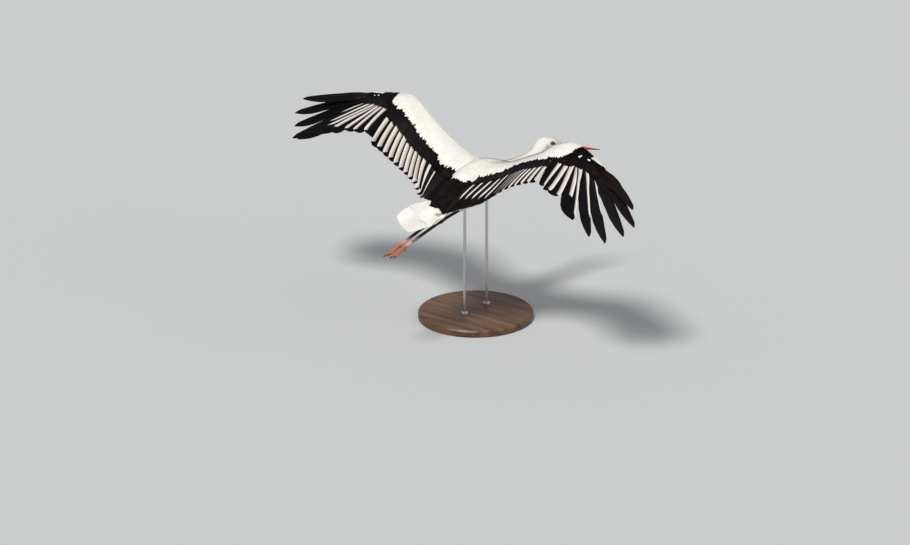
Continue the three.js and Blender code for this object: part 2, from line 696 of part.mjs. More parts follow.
function buildWing(pose) {
  const name = pose.side > 0 ? 'left' : 'right';
  const sheet = wingSheet(pose);
  const handEnd = pose.wristA + HAND_LENGTH;
  const half = GAP / 2;
  const body = trunkShape(GAP);
  const overlaid = scapularShape(pose.side, GAP);

  const upperArm = wingFlesh(pose, sheet, FLESH_ROOT, ELBOW.a - half, 6, 16);
  addPiece(bird, `wing_${name}_upper_arm`, cut(upperArm, body, overlaid), WHITE_PLUMAGE);
  const forearm = wingFlesh(pose, sheet, ELBOW.a + half, pose.wristA - half, 6);
  addPiece(bird, `wing_${name}_forearm`, forearm, WHITE_PLUMAGE);
  const hand = wingFlesh(pose, sheet, pose.wristA + half, handEnd, 6);
  addPiece(bird, `wing_${name}_hand`, hand, BLACK_PLUMAGE);
  addPiece(bird, `wing_${name}_alula`, alulaShape(pose, sheet), BLACK_PLUMAGE);

  for (let number = 0; number < PRIMARIES.length; number += 1) {
    const { reach, lift } = PRIMARIES[number];
    const rise = reach * Math.sin(radians(lift));
    const shape = blade(2, number < 6 ? 7 : 5, (t, across, face) => {
      const placeAt = (at) => inFeather(pose, number, at, across);
      const from = showingFrom(pose, handEnd, placeAt);
      const at = mix(from, 1, 1 - (1 - t) ** TIP_CROWDING);
      const { a, b } = placeAt(at);
      const quill = mix(QUILL_THICK, TIP_THICK, t) * (1 - 0.4 * Math.abs(across));
      return sheet(a, b, rise * at ** 1.5 + face * quill);
    });
    addPiece(bird, `wing_${name}_primary_${PRIMARIES.length - number}`, shape, BLACK_PLUMAGE);
  }

  const inner = SECONDARIES + TERTIALS;
  const perFeather = 3;
  const first = PRIMARIES.length - 0.5;
  const fan = (from, to) => blade(perFeather * Math.round(to - from), 2, (t, across, face) => {
    const number = first + mix(from, to, (across + 1) / 2);
    const whole = Math.floor(number);
    const lineAt = (at) => {
      const one = onLine(featherLine(pose, whole), at);
      const two = onLine(featherLine(pose, whole + 1), at);
      return { a: mix(one.a, two.a, number - whole), b: mix(one.b, two.b, number - whole) };
    };
    const fromRoot = showingFrom(pose, handEnd, lineAt);
    const offCentre = Math.abs(number - Math.round(number));
    const length = 1 - SCALLOP * offCentre * offCentre;
    const at = mix(fromRoot, length, t);
    const { a, b } = lineAt(at);
    const edge = number - first < GAP / 20 ? FEATHER_GAP / 2 : 0;
    const late = share(number - first, SECONDARIES, inner);
    const height = (INNER_RISE + TERTIAL_RISE * late) * Math.max(0, at) ** 1.5;
    return sheet(a - edge, b, height + face * mix(QUILL_THICK, TIP_THICK, t));
  });
  addPiece(bird, `wing_${name}_secondaries`, fan(0, SECONDARIES - 0.02), BLACK_PLUMAGE);
  const tertials = cut(fan(SECONDARIES + 0.02, inner - 1), body, overlaid);
  addPiece(bird, `wing_${name}_tertials`, tertials, BLACK_PLUMAGE);
}

// ---------------------------------------------------------------- tail

function tailPoint(t, across, height) {
  const centre = TAIL_ROOT.clone().lerp(TAIL_TIP, t);
  const roll = radians(mix(TAIL_ROLL_ROOT, TAIL_ROLL_TIP, ease(t * 1.5)) * ease(t * TAIL_LEVEL));
  const half = mix(TAIL_HALF_ROOT, TAIL_HALF_WIDE, ease(t * 1.25));
  const rounding = Math.sqrt(Math.max(0, 1 - share(t, 0.5, 1.16) ** 2.2));
  const x = across * half * rounding;
  const drop = -TAIL_CROWN * x * x;
  const left = new THREE.Vector3(Math.cos(roll), 0, Math.sin(roll));
  const up = new THREE.Vector3(-Math.sin(roll), 0, Math.cos(roll));
  return centre.addScaledVector(left, x).addScaledVector(up, height + drop);
}

function buildTail() {
  const shape = blade(TAIL_FEATHERS * 2, 3, (t, across, face) => {
    const feather = (across + 1) / 2 * TAIL_FEATHERS;
    const offCentre = Math.abs(feather - Math.floor(feather) - 0.5) * 2;
    const length = 1 - TAIL_NOTCH * offCentre - TAIL_CORNER * across * across;
    return tailPoint(t * length, across, face * mix(TAIL_THICK, TAIL_EDGE_THICK, ease(t)));
  });
  const behind = trunkShape(GAP);
  behind.translate(0, 2 * GAP, 0);
  addPiece(bird, 'tail', cut(shape, trunkShape(GAP), behind), WHITE_PLUMAGE);
}

// ---------------------------------------------------------------- legs

const legPoint = (name, sign) => new THREE.Vector3(sign * LEG[name].x, LEG[name].y, LEG[name].z);

// A straight limb with a radius that changes along it.
function limb(from, to, around, along, radiusAt) {
  const back = to.clone().sub(from).normalize();
  const left = new THREE.Vector3().crossVectors(back, new THREE.Vector3(0, 0, 1)).normalize();
  const up = new THREE.Vector3().crossVectors(left, back).normalize();
  return loft(around, along, (t, angle, out) => {
    const radius = radiusAt(t) * out;
    return from.clone().lerp(to, t)
      .addScaledVector(left, radius * Math.sin(angle))
      .addScaledVector(up, radius * Math.cos(angle));
  });
}

function towards(from, to, distance) {
  return from.clone().addScaledVector(to.clone().sub(from).normalize(), distance);
}

function buildLeg(sign) {
  const name = sign > 0 ? 'left' : 'right';
  const knee = legPoint('knee', sign);
  const heel = legPoint('heel', sign);
  const ankle = legPoint('ankle', sign);
  const bare = knee.clone().lerp(heel, THIGH_BARE_FROM);

  const thigh = limb(knee, bare, 12, 7, (t) => {
    const round = Math.sqrt(Math.max(0.05, 1 - (1 - share(t, 0, 0.25)) ** 2));
    return mix(THIGH_RADIUS, SHANK_RADIUS + 3, ease(t)) * round;
  });
  addPiece(bird, `leg_${name}_thigh`, cut(thigh, trunkShape(GAP)), WHITE_PLUMAGE);

  const shankEnd = towards(heel, knee, HEEL_RADIUS + 2 * GAP);
  const shank = limb(towards(bare, heel, GAP), shankEnd, 8, 4, (t) => (
    mix(SHANK_RADIUS, HEEL_RADIUS * 0.8, ease(share(t, 0.7, 1)))
  ));
  addPiece(bird, `leg_${name}_shank`, cut(shank, trunkShape(GAP)), LEG_RED);

  const tarsus = limb(towards(heel, knee, HEEL_RADIUS - GAP), ankle, 8, 8, (t) => {
    const heelSwell = (HEEL_RADIUS - TARSUS_RADIUS) * (1 - ease(share(t, 0.02, 0.14)));
    const ankleSwell = (ANKLE_RADIUS - TARSUS_RADIUS) * ease(share(t, 0.9, 1));
    return TARSUS_RADIUS + heelSwell + ankleSwell;
  });
  addPiece(bird, `leg_${name}_tarsus`, tarsus, LEG_RED);

  const legBack = ankle.clone().sub(heel).normalize();
  const palm = towards(ankle, ankle.clone().add(legBack), ANKLE_RADIUS + GAP);
  const pad = reshape(new THREE.SphereGeometry(ANKLE_RADIUS, 8, 6), (point) => (
    point.clone().add(palm)
  ));
  let foot = toSolid(pad);
  for (const { turn, length, droop } of TOES) {
    const yaw = radians(turn) * -sign;
    const down = radians(droop);
    const way = new THREE.Vector3(
      Math.sin(yaw) * Math.cos(down),
      Math.cos(yaw) * Math.cos(down),
      -Math.sin(down),
    );
    const tip = palm.clone().addScaledVector(way, length);
    foot = foot.add(toSolid(limb(palm, tip, 6, 3, (t) => TOE_RADIUS * (1 - 0.32 * t))));
    const claw = loft(6, 2, (t, angle, out) => {
      const radius = CLAW_RADIUS * (1 - 0.85 * t) * out;
      return tip.clone()
        .addScaledVector(way, mix(-CLAW_SEAT, CLAW_LENGTH, t))
        .add(new THREE.Vector3(
          radius * Math.sin(angle),
          0,
          radius * Math.cos(angle) - CLAW_HOOK * t * t,
        ));
    });
    foot = foot.add(toSolid(claw));
  }
  const beyond = towards(ankle, palm, GAP);
  const tarsusGrown = limb(heel, beyond, 8, 1, () => ANKLE_RADIUS + GAP);
  addPiece(bird, `leg_${name}_foot`, toGeometry(foot.subtract(toSolid(tarsusGrown))), FOOT_RED);
}

// ---------------------------------------------------------------- stand

function buildStand() {
  const profile = [
    new THREE.Vector2(0, 0),
    new THREE.Vector2(BASE_RADIUS, 0),
    new THREE.Vector2(BASE_RADIUS, BASE_THICK - BASE_CHAMFER),
    new THREE.Vector2(BASE_RADIUS - BASE_CHAMFER, BASE_THICK),
    new THREE.Vector2(0, BASE_THICK),
  ];
  const disc = closed(new THREE.LatheGeometry(profile, 36));
  disc.rotateX(Math.PI / 2);
  addPiece(stand, 'stand_base', disc, STAND_WOOD);

  const body = trunkShape(GAP);
  body.translate(0, -SHOULDER_FORWARD, SHOULDER_HEIGHT);
  ROD_PLACES.forEach((y, index) => {
    const number = index + 1;
    const collar = new THREE.LatheGeometry([
      new THREE.Vector2(ROD_RADIUS + 1.5 * GAP, BASE_THICK + GAP),
      new THREE.Vector2(SOCKET_RADIUS, BASE_THICK + GAP),
      new THREE.Vector2(SOCKET_RADIUS, BASE_THICK + SOCKET_HEIGHT - 3),
      new THREE.Vector2(SOCKET_RADIUS - 3, BASE_THICK + SOCKET_HEIGHT),
      new THREE.Vector2(ROD_RADIUS + 1.5 * GAP, BASE_THICK + SOCKET_HEIGHT),
      new THREE.Vector2(ROD_RADIUS + 1.5 * GAP, BASE_THICK + GAP),
    ], 12);
    collar.rotateX(Math.PI / 2);
    collar.translate(0, y, 0);
    addPiece(stand, `stand_socket_${number}`, closed(collar), STAND_STEEL);

    const top = SHOULDER_HEIGHT - ROD_END_DEPTH;
    const from = BASE_THICK + GAP;
    const rod = new THREE.CylinderGeometry(ROD_RADIUS, ROD_RADIUS, top - from, 14, 1);
    rod.rotateX(Math.PI / 2);
    rod.translate(0, y, (top + from) / 2);
    addPiece(stand, `stand_rod_${number}`, cut(closed(rod), body), STAND_STEEL);
  });
}

// ---------------------------------------------------------------- the whole bird

buildHead();
buildNeck();
addPiece(bird, 'trunk', trunkShape(), WHITE_PLUMAGE);
addPiece(bird, 'scapulars_left', scapularShape(1), BLACK_PLUMAGE);
addPiece(bird, 'scapulars_right', scapularShape(-1), BLACK_PLUMAGE);
buildTail();
buildWing(WING_LEFT);
buildWing(WING_RIGHT);
buildLeg(1);
buildLeg(-1);
buildStand();

export default model;
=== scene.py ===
"""A white stork in flight on a display stand: skin, coat, flight feathers, head and legs.

Sizes are in millimetres from the middle of the shoulders: x to the bird's left, y to its
back, z up. They are turned into metres in the room when a mesh is made.
"""

import math
from functools import partial
from types import SimpleNamespace

import bpy
import numpy as np
from mathutils import Matrix, Vector, kdtree
from mathutils.bvhtree import BVHTree


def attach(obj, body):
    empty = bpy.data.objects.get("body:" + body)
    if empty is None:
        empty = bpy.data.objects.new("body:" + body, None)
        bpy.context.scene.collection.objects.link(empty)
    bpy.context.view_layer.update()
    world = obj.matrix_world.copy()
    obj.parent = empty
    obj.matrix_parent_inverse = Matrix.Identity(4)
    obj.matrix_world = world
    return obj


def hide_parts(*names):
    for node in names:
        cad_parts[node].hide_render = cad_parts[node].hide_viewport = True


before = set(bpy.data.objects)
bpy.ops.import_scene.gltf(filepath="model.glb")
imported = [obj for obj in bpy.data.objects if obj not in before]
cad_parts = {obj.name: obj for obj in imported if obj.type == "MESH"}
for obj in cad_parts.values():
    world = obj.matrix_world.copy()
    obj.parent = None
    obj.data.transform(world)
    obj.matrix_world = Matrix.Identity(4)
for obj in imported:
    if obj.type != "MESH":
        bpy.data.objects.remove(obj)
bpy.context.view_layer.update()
rng = np.random.default_rng(41)

# ---------------------------------------------------------------- sizes shared with the solids

SIDES = 1, -1           # left and right
SHOULDER = np.array([0.0, -55.0, 640.0])      # the middle of the shoulders in the room
HEAD_CENTRE = np.array([-25.0, -385.0, -26.0])
HEAD_YAW = math.radians(26)
HEAD_DROOP = math.radians(15)
# y, z, half width, height above and below the centre, along the head's own axes
HEAD_SECTIONS = [
    (-46, -4, 12, 14, 13),
    (-34, -2, 19, 18.5, 18),
    (-16, 0, 25.5, 24, 25),
    (6, 0, 28, 25, 30),
    (28, -4, 28, 23.5, 31),
]
# x, y, z, half width, height above and below the centre
BODY_SECTIONS = [
    (-11, -322, -52, 28, 27, 30),
    (-6, -282, -65, 29, 28, 31),
    (-2, -232, -72, 32, 31, 33),
    (0, -180, -74, 38, 35, 37),
    (0, -128, -73, 51, 44, 46),
    (0, -76, -68, 68, 60, 59),
    (0, -16, -64, 81, 76, 68),
    (0, 54, -68, 86, 82, 72),
    (0, 126, -80, 82, 76, 66),
    (0, 200, -92, 70, 57, 47),
    (0, 262, -100, 57, 34, 32),
    (0, 314, -105, 47, 16, 18),
    (1, 352, -104, 44, 8, 9),
]
SHOULDER_HALF_WIDTH = 65
ARCH_HEIGHT = 20
ROOT_COVERT_REAR = -112     # b of the coverts' rear edge at the body
ARM_COVERT_REAR = -86       # and along the arm, from this far out:
ROOT_COVERT_LENGTH = 190
HAND_LENGTH = 190
HAND_END_CHORD = 44
HAND_FRONT_BEND = 0.00038
ROOT_FRONT = 22
WRIST_FRONT = 6
FRONT_HOLLOW = 10
KNUCKLE = 15            # how far inside the wrist the front edge turns
ROOT_BEND = 140         # length of the bend from the body into the arm
WRIST_BEND = 160        # and of the one into the hand, which begins this far inside the wrist:
WRIST_BEND_AHEAD = 70
ARM_THICK = 23
WRIST_THICK = 13
SWELL_AT = 325          # a of the swelling before the wrist
SWELL_SPREAD = 52
HAND_THICK = 4
REAR_THINNING = 0.62    # how much of the flesh's thickness is lost towards its rear edge
UNDER_FLESH = 0.72      # thickness below the plane of the feathers, as a share of that above
COVERT_BED = 2.3        # least height of the coverts' ground above and below the feathers
ELBOW = np.array([185, -62])
SECONDARIES = 9
TERTIALS = 5
INNER_COUNT = SECONDARIES + TERTIALS
TERTIAL_ROOT = np.array([-8, -50])
FINGERS = 6             # primaries whose tips stand free
# reach, angle, lift and bow, outermost first
PRIMARIES = [
    (450, 13.4, 4.6, 0.06), (497, 15.8, -1.4, 0.035), (500, 21.4, -4.7, 0.02),
    (505, 30.2, -5.2, 0.01), (478, 37.1, -2.9, 0.01), (413, 45.1, 0.8, 0.01),
    (345, 51.0, 0.66, 0.02), (300, 60.0, 0.8, 0.02), (285, 69.0, 0.9, 0.02),
    (262, 81.0, 1.05, 0.02),
]
INNER = len(PRIMARIES)  # number of the first feather inside the primaries
INNER_RISE = 5          # how far the rear edge of the inner feathers is raised
TERTIAL_RISE = 5        # and how much more at the last tertial
# a of the primaries' roots past the wrist, outermost first
PRIMARY_ROOTS = [178, 146, 108, 76, 56, 40, 28, 18, 8, -2]
PRIMARY_INSET = 17, 40      # how far the outermost and innermost root behind the front edge
REAR_EDGE = [(-0.08, -304), (0.03, -281), (0.235, -212), (0.42, -202), (0.62, -198),
             (0.78, -197), (0.95, -206)]

# rise and twist are degrees at the root, along the arm and along the hand, and mid_twist is
# added in the middle of the arm. sweep turns the primaries to the rear, in degrees. gather
# draws the tips of the inner feathers to the body, at the wrist's end and in the middle of
# the row, and rear_more is how much further back they reach beside the body.
WING_LEFT = SimpleNamespace(
    name="left", side=1, wrist_a=400, wrist_b=74, rise=(12, 22.6, -9.1),
    twist=(19, 27.9, 20.5), mid_twist=13.5, sweep=5, front_slope=0.005, wrist_swell=3,
    gather=(0, 0), rear_more=0)
WING_RIGHT = SimpleNamespace(
    name="right", side=-1, wrist_a=395, wrist_b=49, rise=(12, 25.9, -17.6),
    twist=(19, 26.1, 24.3), mid_twist=-7, sweep=6.5, front_slope=0.12, wrist_swell=13,
    gather=(28, 30), rear_more=26)
WINGS = WING_LEFT, WING_RIGHT

TAIL_ROLL = math.radians(13), math.radians(42)     # at the root and at the tip
TAIL_ROOT = np.array([0.0, 290.0, -97.0])
TAIL_TIP = np.array([3.0, 530.0, -106.0])
TAIL_HALF_ROOT = 46
TAIL_HALF_WIDE = 44
TAIL_FEATHERS = 12
TAIL_CORNER = 0.05          # how much shorter the outermost feathers are
TAIL_CROWN = 0.0016         # how much the tail is arched across

KNEE = (41, 52, -112)
HEEL = (17, 296, -155)
ANKLE = (13, 522, -199)
THIGH_BARE_FROM = 0.54
THIGH_RADIUS = 28
SHANK_RADIUS = 6.2
HEEL_RADIUS = 9.8
TARSUS_RADIUS = 6.1
ANKLE_RADIUS = 7.5
# turn from straight back, length, droop, radius
TOES = [(4, 66, 12, 6.3), (-2, 84, 10, 6.6), (-8, 70, 14, 6.4), (160, 27, 38, 5.2)]
CLAW_LENGTH = 12

BILL_LENGTH = 190
BILL_BASE_Y = -44
BILL_BASE_HALF_WIDTH = 10.5
BILL_BASE_UPPER = 15
BILL_BASE_LOWER = 12.5
BILL_BITE_Z = -6
BILL_RISE = 0.02           # how much the bite rises towards the tip, per millimetre
BILL_ROOT = 14
EYE_RADIUS = 7.7
EYE = np.array([19.5, -2.0, 9.0])

# ---------------------------------------------------------------- small helpers


def mix(a, b, t):
    return a + (b - a) * t


def ease(value):
    value = np.clip(value, 0, 1)
    return value * value * (3 - 2 * value)


def share(value, start, end):
    return np.clip((value - start) / (end - start), 0, 1)


def unit(v):
    return v / np.maximum(np.linalg.norm(v, axis=-1, keepdims=True), 1e-9)


def axes_of(back):
    """Left and up, across a way that leads to the rear."""
    left = unit(np.cross(back, [0, 0, 1]))
    return left, np.cross(left, back)


def table(rows, at, column=1):
    """Straight lines through rows that hold a place and its values."""
    return np.interp(at, [r[0] for r in rows], [r[column] for r in rows])


def grid_noise(points, size, seed):
    """Smooth noise of about -1 to 1 over points in space."""
    gen = np.random.default_rng(seed)
    total = 0
    for octave in range(4):
        wave = gen.normal(size=3)
        wave *= (1 + octave) / size / np.linalg.norm(wave)
        total = total + np.sin(points @ wave * 2 * np.pi + gen.uniform(0, 7)) / 2.2
    return total


def to_room(points):
    return (np.asarray(points) + SHOULDER) / 1000


def make_mesh(name, points, faces, uvs=None, colours=None, smooth=True, sharp=None):
    """An object from arrays. Faces are all triangles or all quads; uvs are per corner."""
    mesh = bpy.data.meshes.new(name)
    faces = np.asarray(faces, dtype=np.int32)
    count, corners = faces.shape
    mesh.vertices.add(len(points))
    mesh.vertices.foreach_set("co", to_room(points).astype(np.float32).ravel())
    mesh.loops.add(count * corners)
    mesh.loops.foreach_set("vertex_index", faces.ravel())
    mesh.polygons.add(count)
    mesh.polygons.foreach_set("loop_start", np.arange(0, count * corners, corners, dtype=np.int32))
    mesh.update(calc_edges=True)
    for layer, values in (uvs or {}).items():
        mesh.uv_layers.new(name=layer).data.foreach_set("uv", values.astype(np.float32).ravel())
    if colours is not None:
        layer = mesh.color_attributes.new("Colour", "FLOAT_COLOR", "POINT")
        rgba = np.ones((len(points), 4), dtype=np.float32)
        rgba[:, :3] = colours
        layer.data.foreach_set("color", rgba.ravel())
    if smooth:
        mesh.polygons.foreach_set("use_smooth", np.ones(count, dtype=bool))
    if sharp is not None:
        mesh.set_sharp_from_angle(angle=math.radians(sharp))
    mesh.validate()
    made = bpy.data.objects.new(name, mesh)
    bpy.context.scene.collection.objects.link(made)
    return made


def grid_faces(rows, columns, closed=False):
    """Quads of a grid of points, row by row; a closed one joins its last column to its first."""
    r, c = np.meshgrid(np.arange(rows - 1), np.arange(columns if closed else columns - 1),
                       indexing="ij")
    n = (c + 1) % columns
    quads = np.stack([r * columns + c, r * columns + n, (r + 1) * columns + n,
                      (r + 1) * columns + c], axis=-1)
    return quads.reshape(-1, 4)


def tube(place, around, along, start=0.0, end=1.0):
    """Closed surface from place(t, angle, out), with its caps as rings drawn to the middle."""
    t = np.linspace(start, end, along + 1)
    angle = np.linspace(0, 2 * np.pi, around, endpoint=False)
    rings = [(start, 0.02), (start, 0.5)] + [(v, 1.0) for v in t] + [(end, 0.5), (end, 0.02)]
    ts = np.repeat([r[0] for r in rings], around)
    outs = np.repeat([r[1] for r in rings], around)
    points = place(ts, np.tile(angle, len(rings)), outs)
    quads = grid_faces(len(rings), around, closed=True)
    last = len(points)
    points = np.vstack([points, points[:around].mean(0), points[-around:].mean(0)])
    ring = np.arange(around)
    nxt = (ring + 1) % around
    tris = np.vstack([
        np.stack([nxt, ring, np.full(around, last)], -1),
        np.stack([last - around + ring, last - around + nxt, np.full(around, last + 1)], -1),
    ])
    quads_as_tris = np.vstack([quads[:, [0, 1, 2]], quads[:, [0, 2, 3]]])
    return points, np.vstack([quads_as_tris, tris])


# ---------------------------------------------------------------- head, neck and trunk

HEAD_TURN = np.array(
    Matrix.Rotation(-HEAD_YAW, 3, "Z") @ Matrix.Rotation(HEAD_DROOP, 3, "X"))


def from_head(points):
    return np.asarray(points) @ HEAD_TURN.T + HEAD_CENTRE


AXIS = np.array(
    [[*from_head([0, y, z]), wide, up, down] for y, z, wide, up, down in HEAD_SECTIONS]
    + [list(row) for row in BODY_SECTIONS], dtype=float)
AXIS_LAST = len(AXIS) - 1
TURN_STEP = 0.35      # wide enough that the sections don't cross where the neck bends


def through(at):
    """Smooth rows of AXIS at places counted in rows, by Catmull-Rom."""
    at = np.clip(np.asarray(at, dtype=float), 0, AXIS_LAST)
    row = np.minimum(AXIS_LAST - 1, np.floor(at).astype(int))
    t = (at - row)[..., None]
    before = AXIS[np.maximum(0, row - 1)]
    here = AXIS[row]
    nxt = AXIS[row + 1]
    after = AXIS[np.minimum(AXIS_LAST, row + 2)]
    slope_here = (nxt - before) / 2
    slope_next = (after - here) / 2
    cubic = 2 * here - 2 * nxt + slope_here + slope_next
    square = 3 * nxt - 3 * here - 2 * slope_here - slope_next
    return ((cubic * t + square) * t + slope_here) * t + here


def body_point(at, angle, margin=0.0, out=1.0):
    """A point of the body: angle 0 is the top and grows to the left."""
    at = np.asarray(at)
    row = through(at)
    left, up = axes_of(unit(through(at + TURN_STEP)[..., :3] - through(at - TURN_STEP)[..., :3]))
    tall = np.cos(angle)
    height = np.where(tall > 0, row[..., 4], row[..., 5])
    return (row[..., :3]
            + left * (out * np.sin(angle) * (row[..., 3] + margin))[..., None]
            + up * (out * tall * (height + margin))[..., None])


Y_PLACES = np.linspace(0, AXIS_LAST, 600)
Y_TABLE = through(Y_PLACES)[:, 1]
LENGTH_PLACES = np.linspace(0, AXIS_LAST, 900)
LENGTH_TABLE = np.concatenate([[0], np.cumsum(np.linalg.norm(
    np.diff(through(LENGTH_PLACES)[:, :3], axis=0), axis=1))])


def at_y(y):
    return np.interp(y, Y_TABLE, Y_PLACES)


def moved_back(at, distance):
    """The place on the axis that lies a distance behind another."""
    return np.interp(np.interp(at, LENGTH_PLACES, LENGTH_TABLE) + distance,
                     LENGTH_TABLE, LENGTH_PLACES)


def girth_radius(at, angle):
    row = through(at)
    height = np.where(np.cos(angle) > 0, row[..., 4], row[..., 5])
    return np.hypot(row[..., 3] * np.cos(angle), height * np.sin(angle))


# ---------------------------------------------------------------- wings

# Places on the spread plan of a wing: a runs outwards from the shoulder and b to the front.


def front_edge(pose, a):
    top = pose.wrist_b + WRIST_FRONT
    knuckle = pose.wrist_a - KNUCKLE
    along = share(a, 0, knuckle)
    arm = mix(ROOT_FRONT, top, along ** 1.12) - FRONT_HOLLOW * np.sin(np.pi * along)
    out = np.maximum(0, a - knuckle)
    hand = (top - WRIST_FRONT * ease(out / 60) - pose.front_slope * out
            - HAND_FRONT_BEND * out * out)
    return np.where(a < knuckle, arm, hand)


def rear_edge(pose, a):
    along = np.asarray(a) / pose.wrist_a
    return table(REAR_EDGE, along) - pose.rear_more * (1 - ease(share(along, 0.2, 0.5)))


def covert_rear(pose, a):
    start = pose.wrist_a - 38
    end = pose.wrist_a + HAND_LENGTH
    arm = mix(ROOT_COVERT_REAR, ARM_COVERT_REAR, ease(a / ROOT_COVERT_LENGTH))
    last = front_edge(pose, np.array(float(end))) - HAND_END_CHORD
    return np.where(a < start, arm, mix(ARM_COVERT_REAR, last, share(a, start, end)))


def arch(pose, a, b):
    front = front_edge(pose, a)
    rear = np.minimum(-190, rear_edge(pose, a))
    fade = 1 - 0.9 * ease((a - pose.wrist_a + 20) / 140)
    back = share(b, front, rear)
    return ARCH_HEIGHT * fade * 4 * back * (1 - back)


def blended(pose, values, a, start=0):
    """A wing's value at a, from those at the root, along the arm and along the hand."""
    root, arm, hand = values
    return (root + (arm - root) * ease((a + start) / ROOT_BEND)
            + (hand - arm) * ease((a - pose.wrist_a + WRIST_BEND_AHEAD) / WRIST_BEND))


def rise_of(pose, a):
    return np.radians(blended(pose, pose.rise, a))


def twist_of(pose, a):
    along = share(a, 0, pose.wrist_a)
    return np.radians(blended(pose, pose.twist, a, 20) + pose.mid_twist * 4 * along * (1 - along))


def wing_axis(pose):
    """a, x and z of places along the bent wing."""
    step, inner_end = 5.0, -80
    a = np.arange(inner_end, 1100, step)
    turn = rise_of(pose, a + step / 2)
    root = rise_of(pose, np.array(0.0))
    return [a] + [inner_end * part(root) + np.concatenate([[0], np.cumsum(step * part(turn))[:-1]])
                  for part in (np.cos, np.sin)]


for wing in WINGS:
    wing.axis = wing_axis(wing)


def wing_point(pose, a, b, height=0.0):
    a, b = np.broadcast_arrays(np.asarray(a, float), np.asarray(b, float))
    axis_a, axis_x, axis_z = pose.axis
    rise = rise_of(pose, a)
    turn = twist_of(pose, a)
    zero = np.zeros_like(a)
    up = np.stack([-np.sin(rise), zero, np.cos(rise)], -1)
    ahead = np.array([0.0, -1.0, 0.0])
    cos, sin = np.cos(turn)[..., None], np.sin(turn)[..., None]
    forward = ahead * cos + up * sin
    normal = up * cos - ahead * sin
    point = np.stack([SHOULDER_HALF_WIDTH + np.interp(a, axis_a, axis_x), zero,
                      np.interp(a, axis_a, axis_z)], -1)
    point = point + forward * b[..., None]
    point = point + normal * (height + arch(pose, a, b))[..., None]
    point[..., 0] *= pose.side
    return point


def flesh_thickness(pose, a):
    arm = (mix(ARM_THICK, WRIST_THICK, ease(share(a, 0, pose.wrist_a)))
           + pose.wrist_swell * np.exp(-((a - SWELL_AT) / SWELL_SPREAD) ** 2))
    hand = mix(WRIST_THICK, HAND_THICK, share(a, pose.wrist_a, pose.wrist_a + HAND_LENGTH))
    return np.where(a < pose.wrist_a, arm, hand)


def flesh_top(pose, a, back):
    return (flesh_thickness(pose, a) * 2 * np.sqrt(np.clip(back * (1 - back), 0, 1))
            * (1 - REAR_THINNING * back))


def feather_line(pose, number):
    """Root, tip and bow of a flight feather on the spread plan; 0 is the outermost primary."""
    if number < INNER:
        reach, angle, _, bow = PRIMARIES[number]
        root_a = pose.wrist_a + PRIMARY_ROOTS[number]
        swing = math.radians(angle + pose.sweep)
        inward = mix(*PRIMARY_INSET, number / (INNER - 1))
        root = root_a, float(front_edge(pose, np.array(root_a))) - inward
        tip = pose.wrist_a + reach * math.cos(swing), pose.wrist_b - reach * math.sin(swing)
        return np.array(root), np.array(tip), bow
    inner = number - INNER
    along = inner / (INNER_COUNT - 1)
    gather = pose.gather[0] * (1 - along) + pose.gather[1] * math.sin(math.pi * min(along, 1))
    tip_a = mix(0.87 * pose.wrist_a, -42, along ** 0.95) - gather
    from_wrist = min(1, inner / (SECONDARIES - 1))
    past = max(0, inner - SECONDARIES + 1) / TERTIALS
    wrist = np.array([pose.wrist_a - 22, pose.wrist_b - 30])
    root = mix(mix(wrist, ELBOW, from_wrist), TERTIAL_ROOT, past)
    return root, np.array([tip_a, float(rear_edge(pose, tip_a))]), 0.02


def line_between(pose, one, two, t):
    """A line that lies between those of two feathers."""
    return [mix(a, b, t) for a, b in zip(feather_line(pose, one), feather_line(pose, two))]


def on_line(line, t):
    root, tip, bow = line
    t = np.asarray(t)[..., None]
    push = bow * 4 * t * (1 - t)
    side = np.array([root[1] - tip[1], tip[0] - root[0]])
    return root + (tip - root) * t + push * side


# ---------------------------------------------------------------- the skin

SKIN_DEPTH = 3.5       # how far the skin lies inside the coat on the body
HEAD_SKIN_DEPTH = 1.6
HEAD_REACH = 110       # the head's skin lies within this distance of its centre
SKIN_VOXEL = 2.6
LEG_VOXEL = 1.1


def skin_margin(at):
    return -mix(HEAD_SKIN_DEPTH, SKIN_DEPTH, ease((at - 3.5) / 4))


def wing_skin(pose):
    """Arm and hand under the coverts, from inside the trunk to the middle of the hand."""
    end = pose.wrist_a + 0.72 * HAND_LENGTH

    def place(t, angle, out):
        a = mix(-40.0, end, t)
        back = (1 - np.cos(angle)) / 2
        front = front_edge(pose, a) - 2.5
        rear = mix(front, covert_rear(pose, a), 0.9)
        thick = np.maximum(1.8, flesh_thickness(pose, a) - 2.4)
        lens = thick * np.abs(np.sin(angle)) * (1 - REAR_THINNING * back)
        height = np.where(np.sin(angle) > 0, lens, -UNDER_FLESH * lens) * out
        middle = mix(front, rear, 0.45)
        return wing_point(pose, a, mix(middle, mix(front, rear, back), out), height)

    return tube(place, 40, 90)


def limb(start, end, radius_of, around, along, flat=1.0):
    """A straight limb; radius_of(t) is its radius along the way."""
    left, up = axes_of(unit(end - start))

    def place(t, angle, out):
        radius = radius_of(t) * out
        return (start + (end - start) * t[:, None] + left * (radius * np.sin(angle))[:, None]
                + up * (flat * radius * np.cos(angle))[:, None])

    return tube(place, around, along)


def leg_joints(sign):
    """Knee, heel and ankle of one leg."""
    return [np.array(point, float) * [sign, 1, 1] for point in (KNEE, HEEL, ANKLE)]


def thigh_radius(t):
    rounded = np.sqrt(np.maximum(0.05, 1 - (1 - share(t, 0, 0.25)) ** 2))
    return mix(THIGH_RADIUS, SHANK_RADIUS + 3, ease(t)) * rounded


def joined(pieces):
    points, faces, count = [], [], 0
    for some, tris in pieces:
        points.append(some)
        faces.append(np.asarray(tris) + count)
        count += len(some)
    return np.vstack(points), np.vstack(faces)


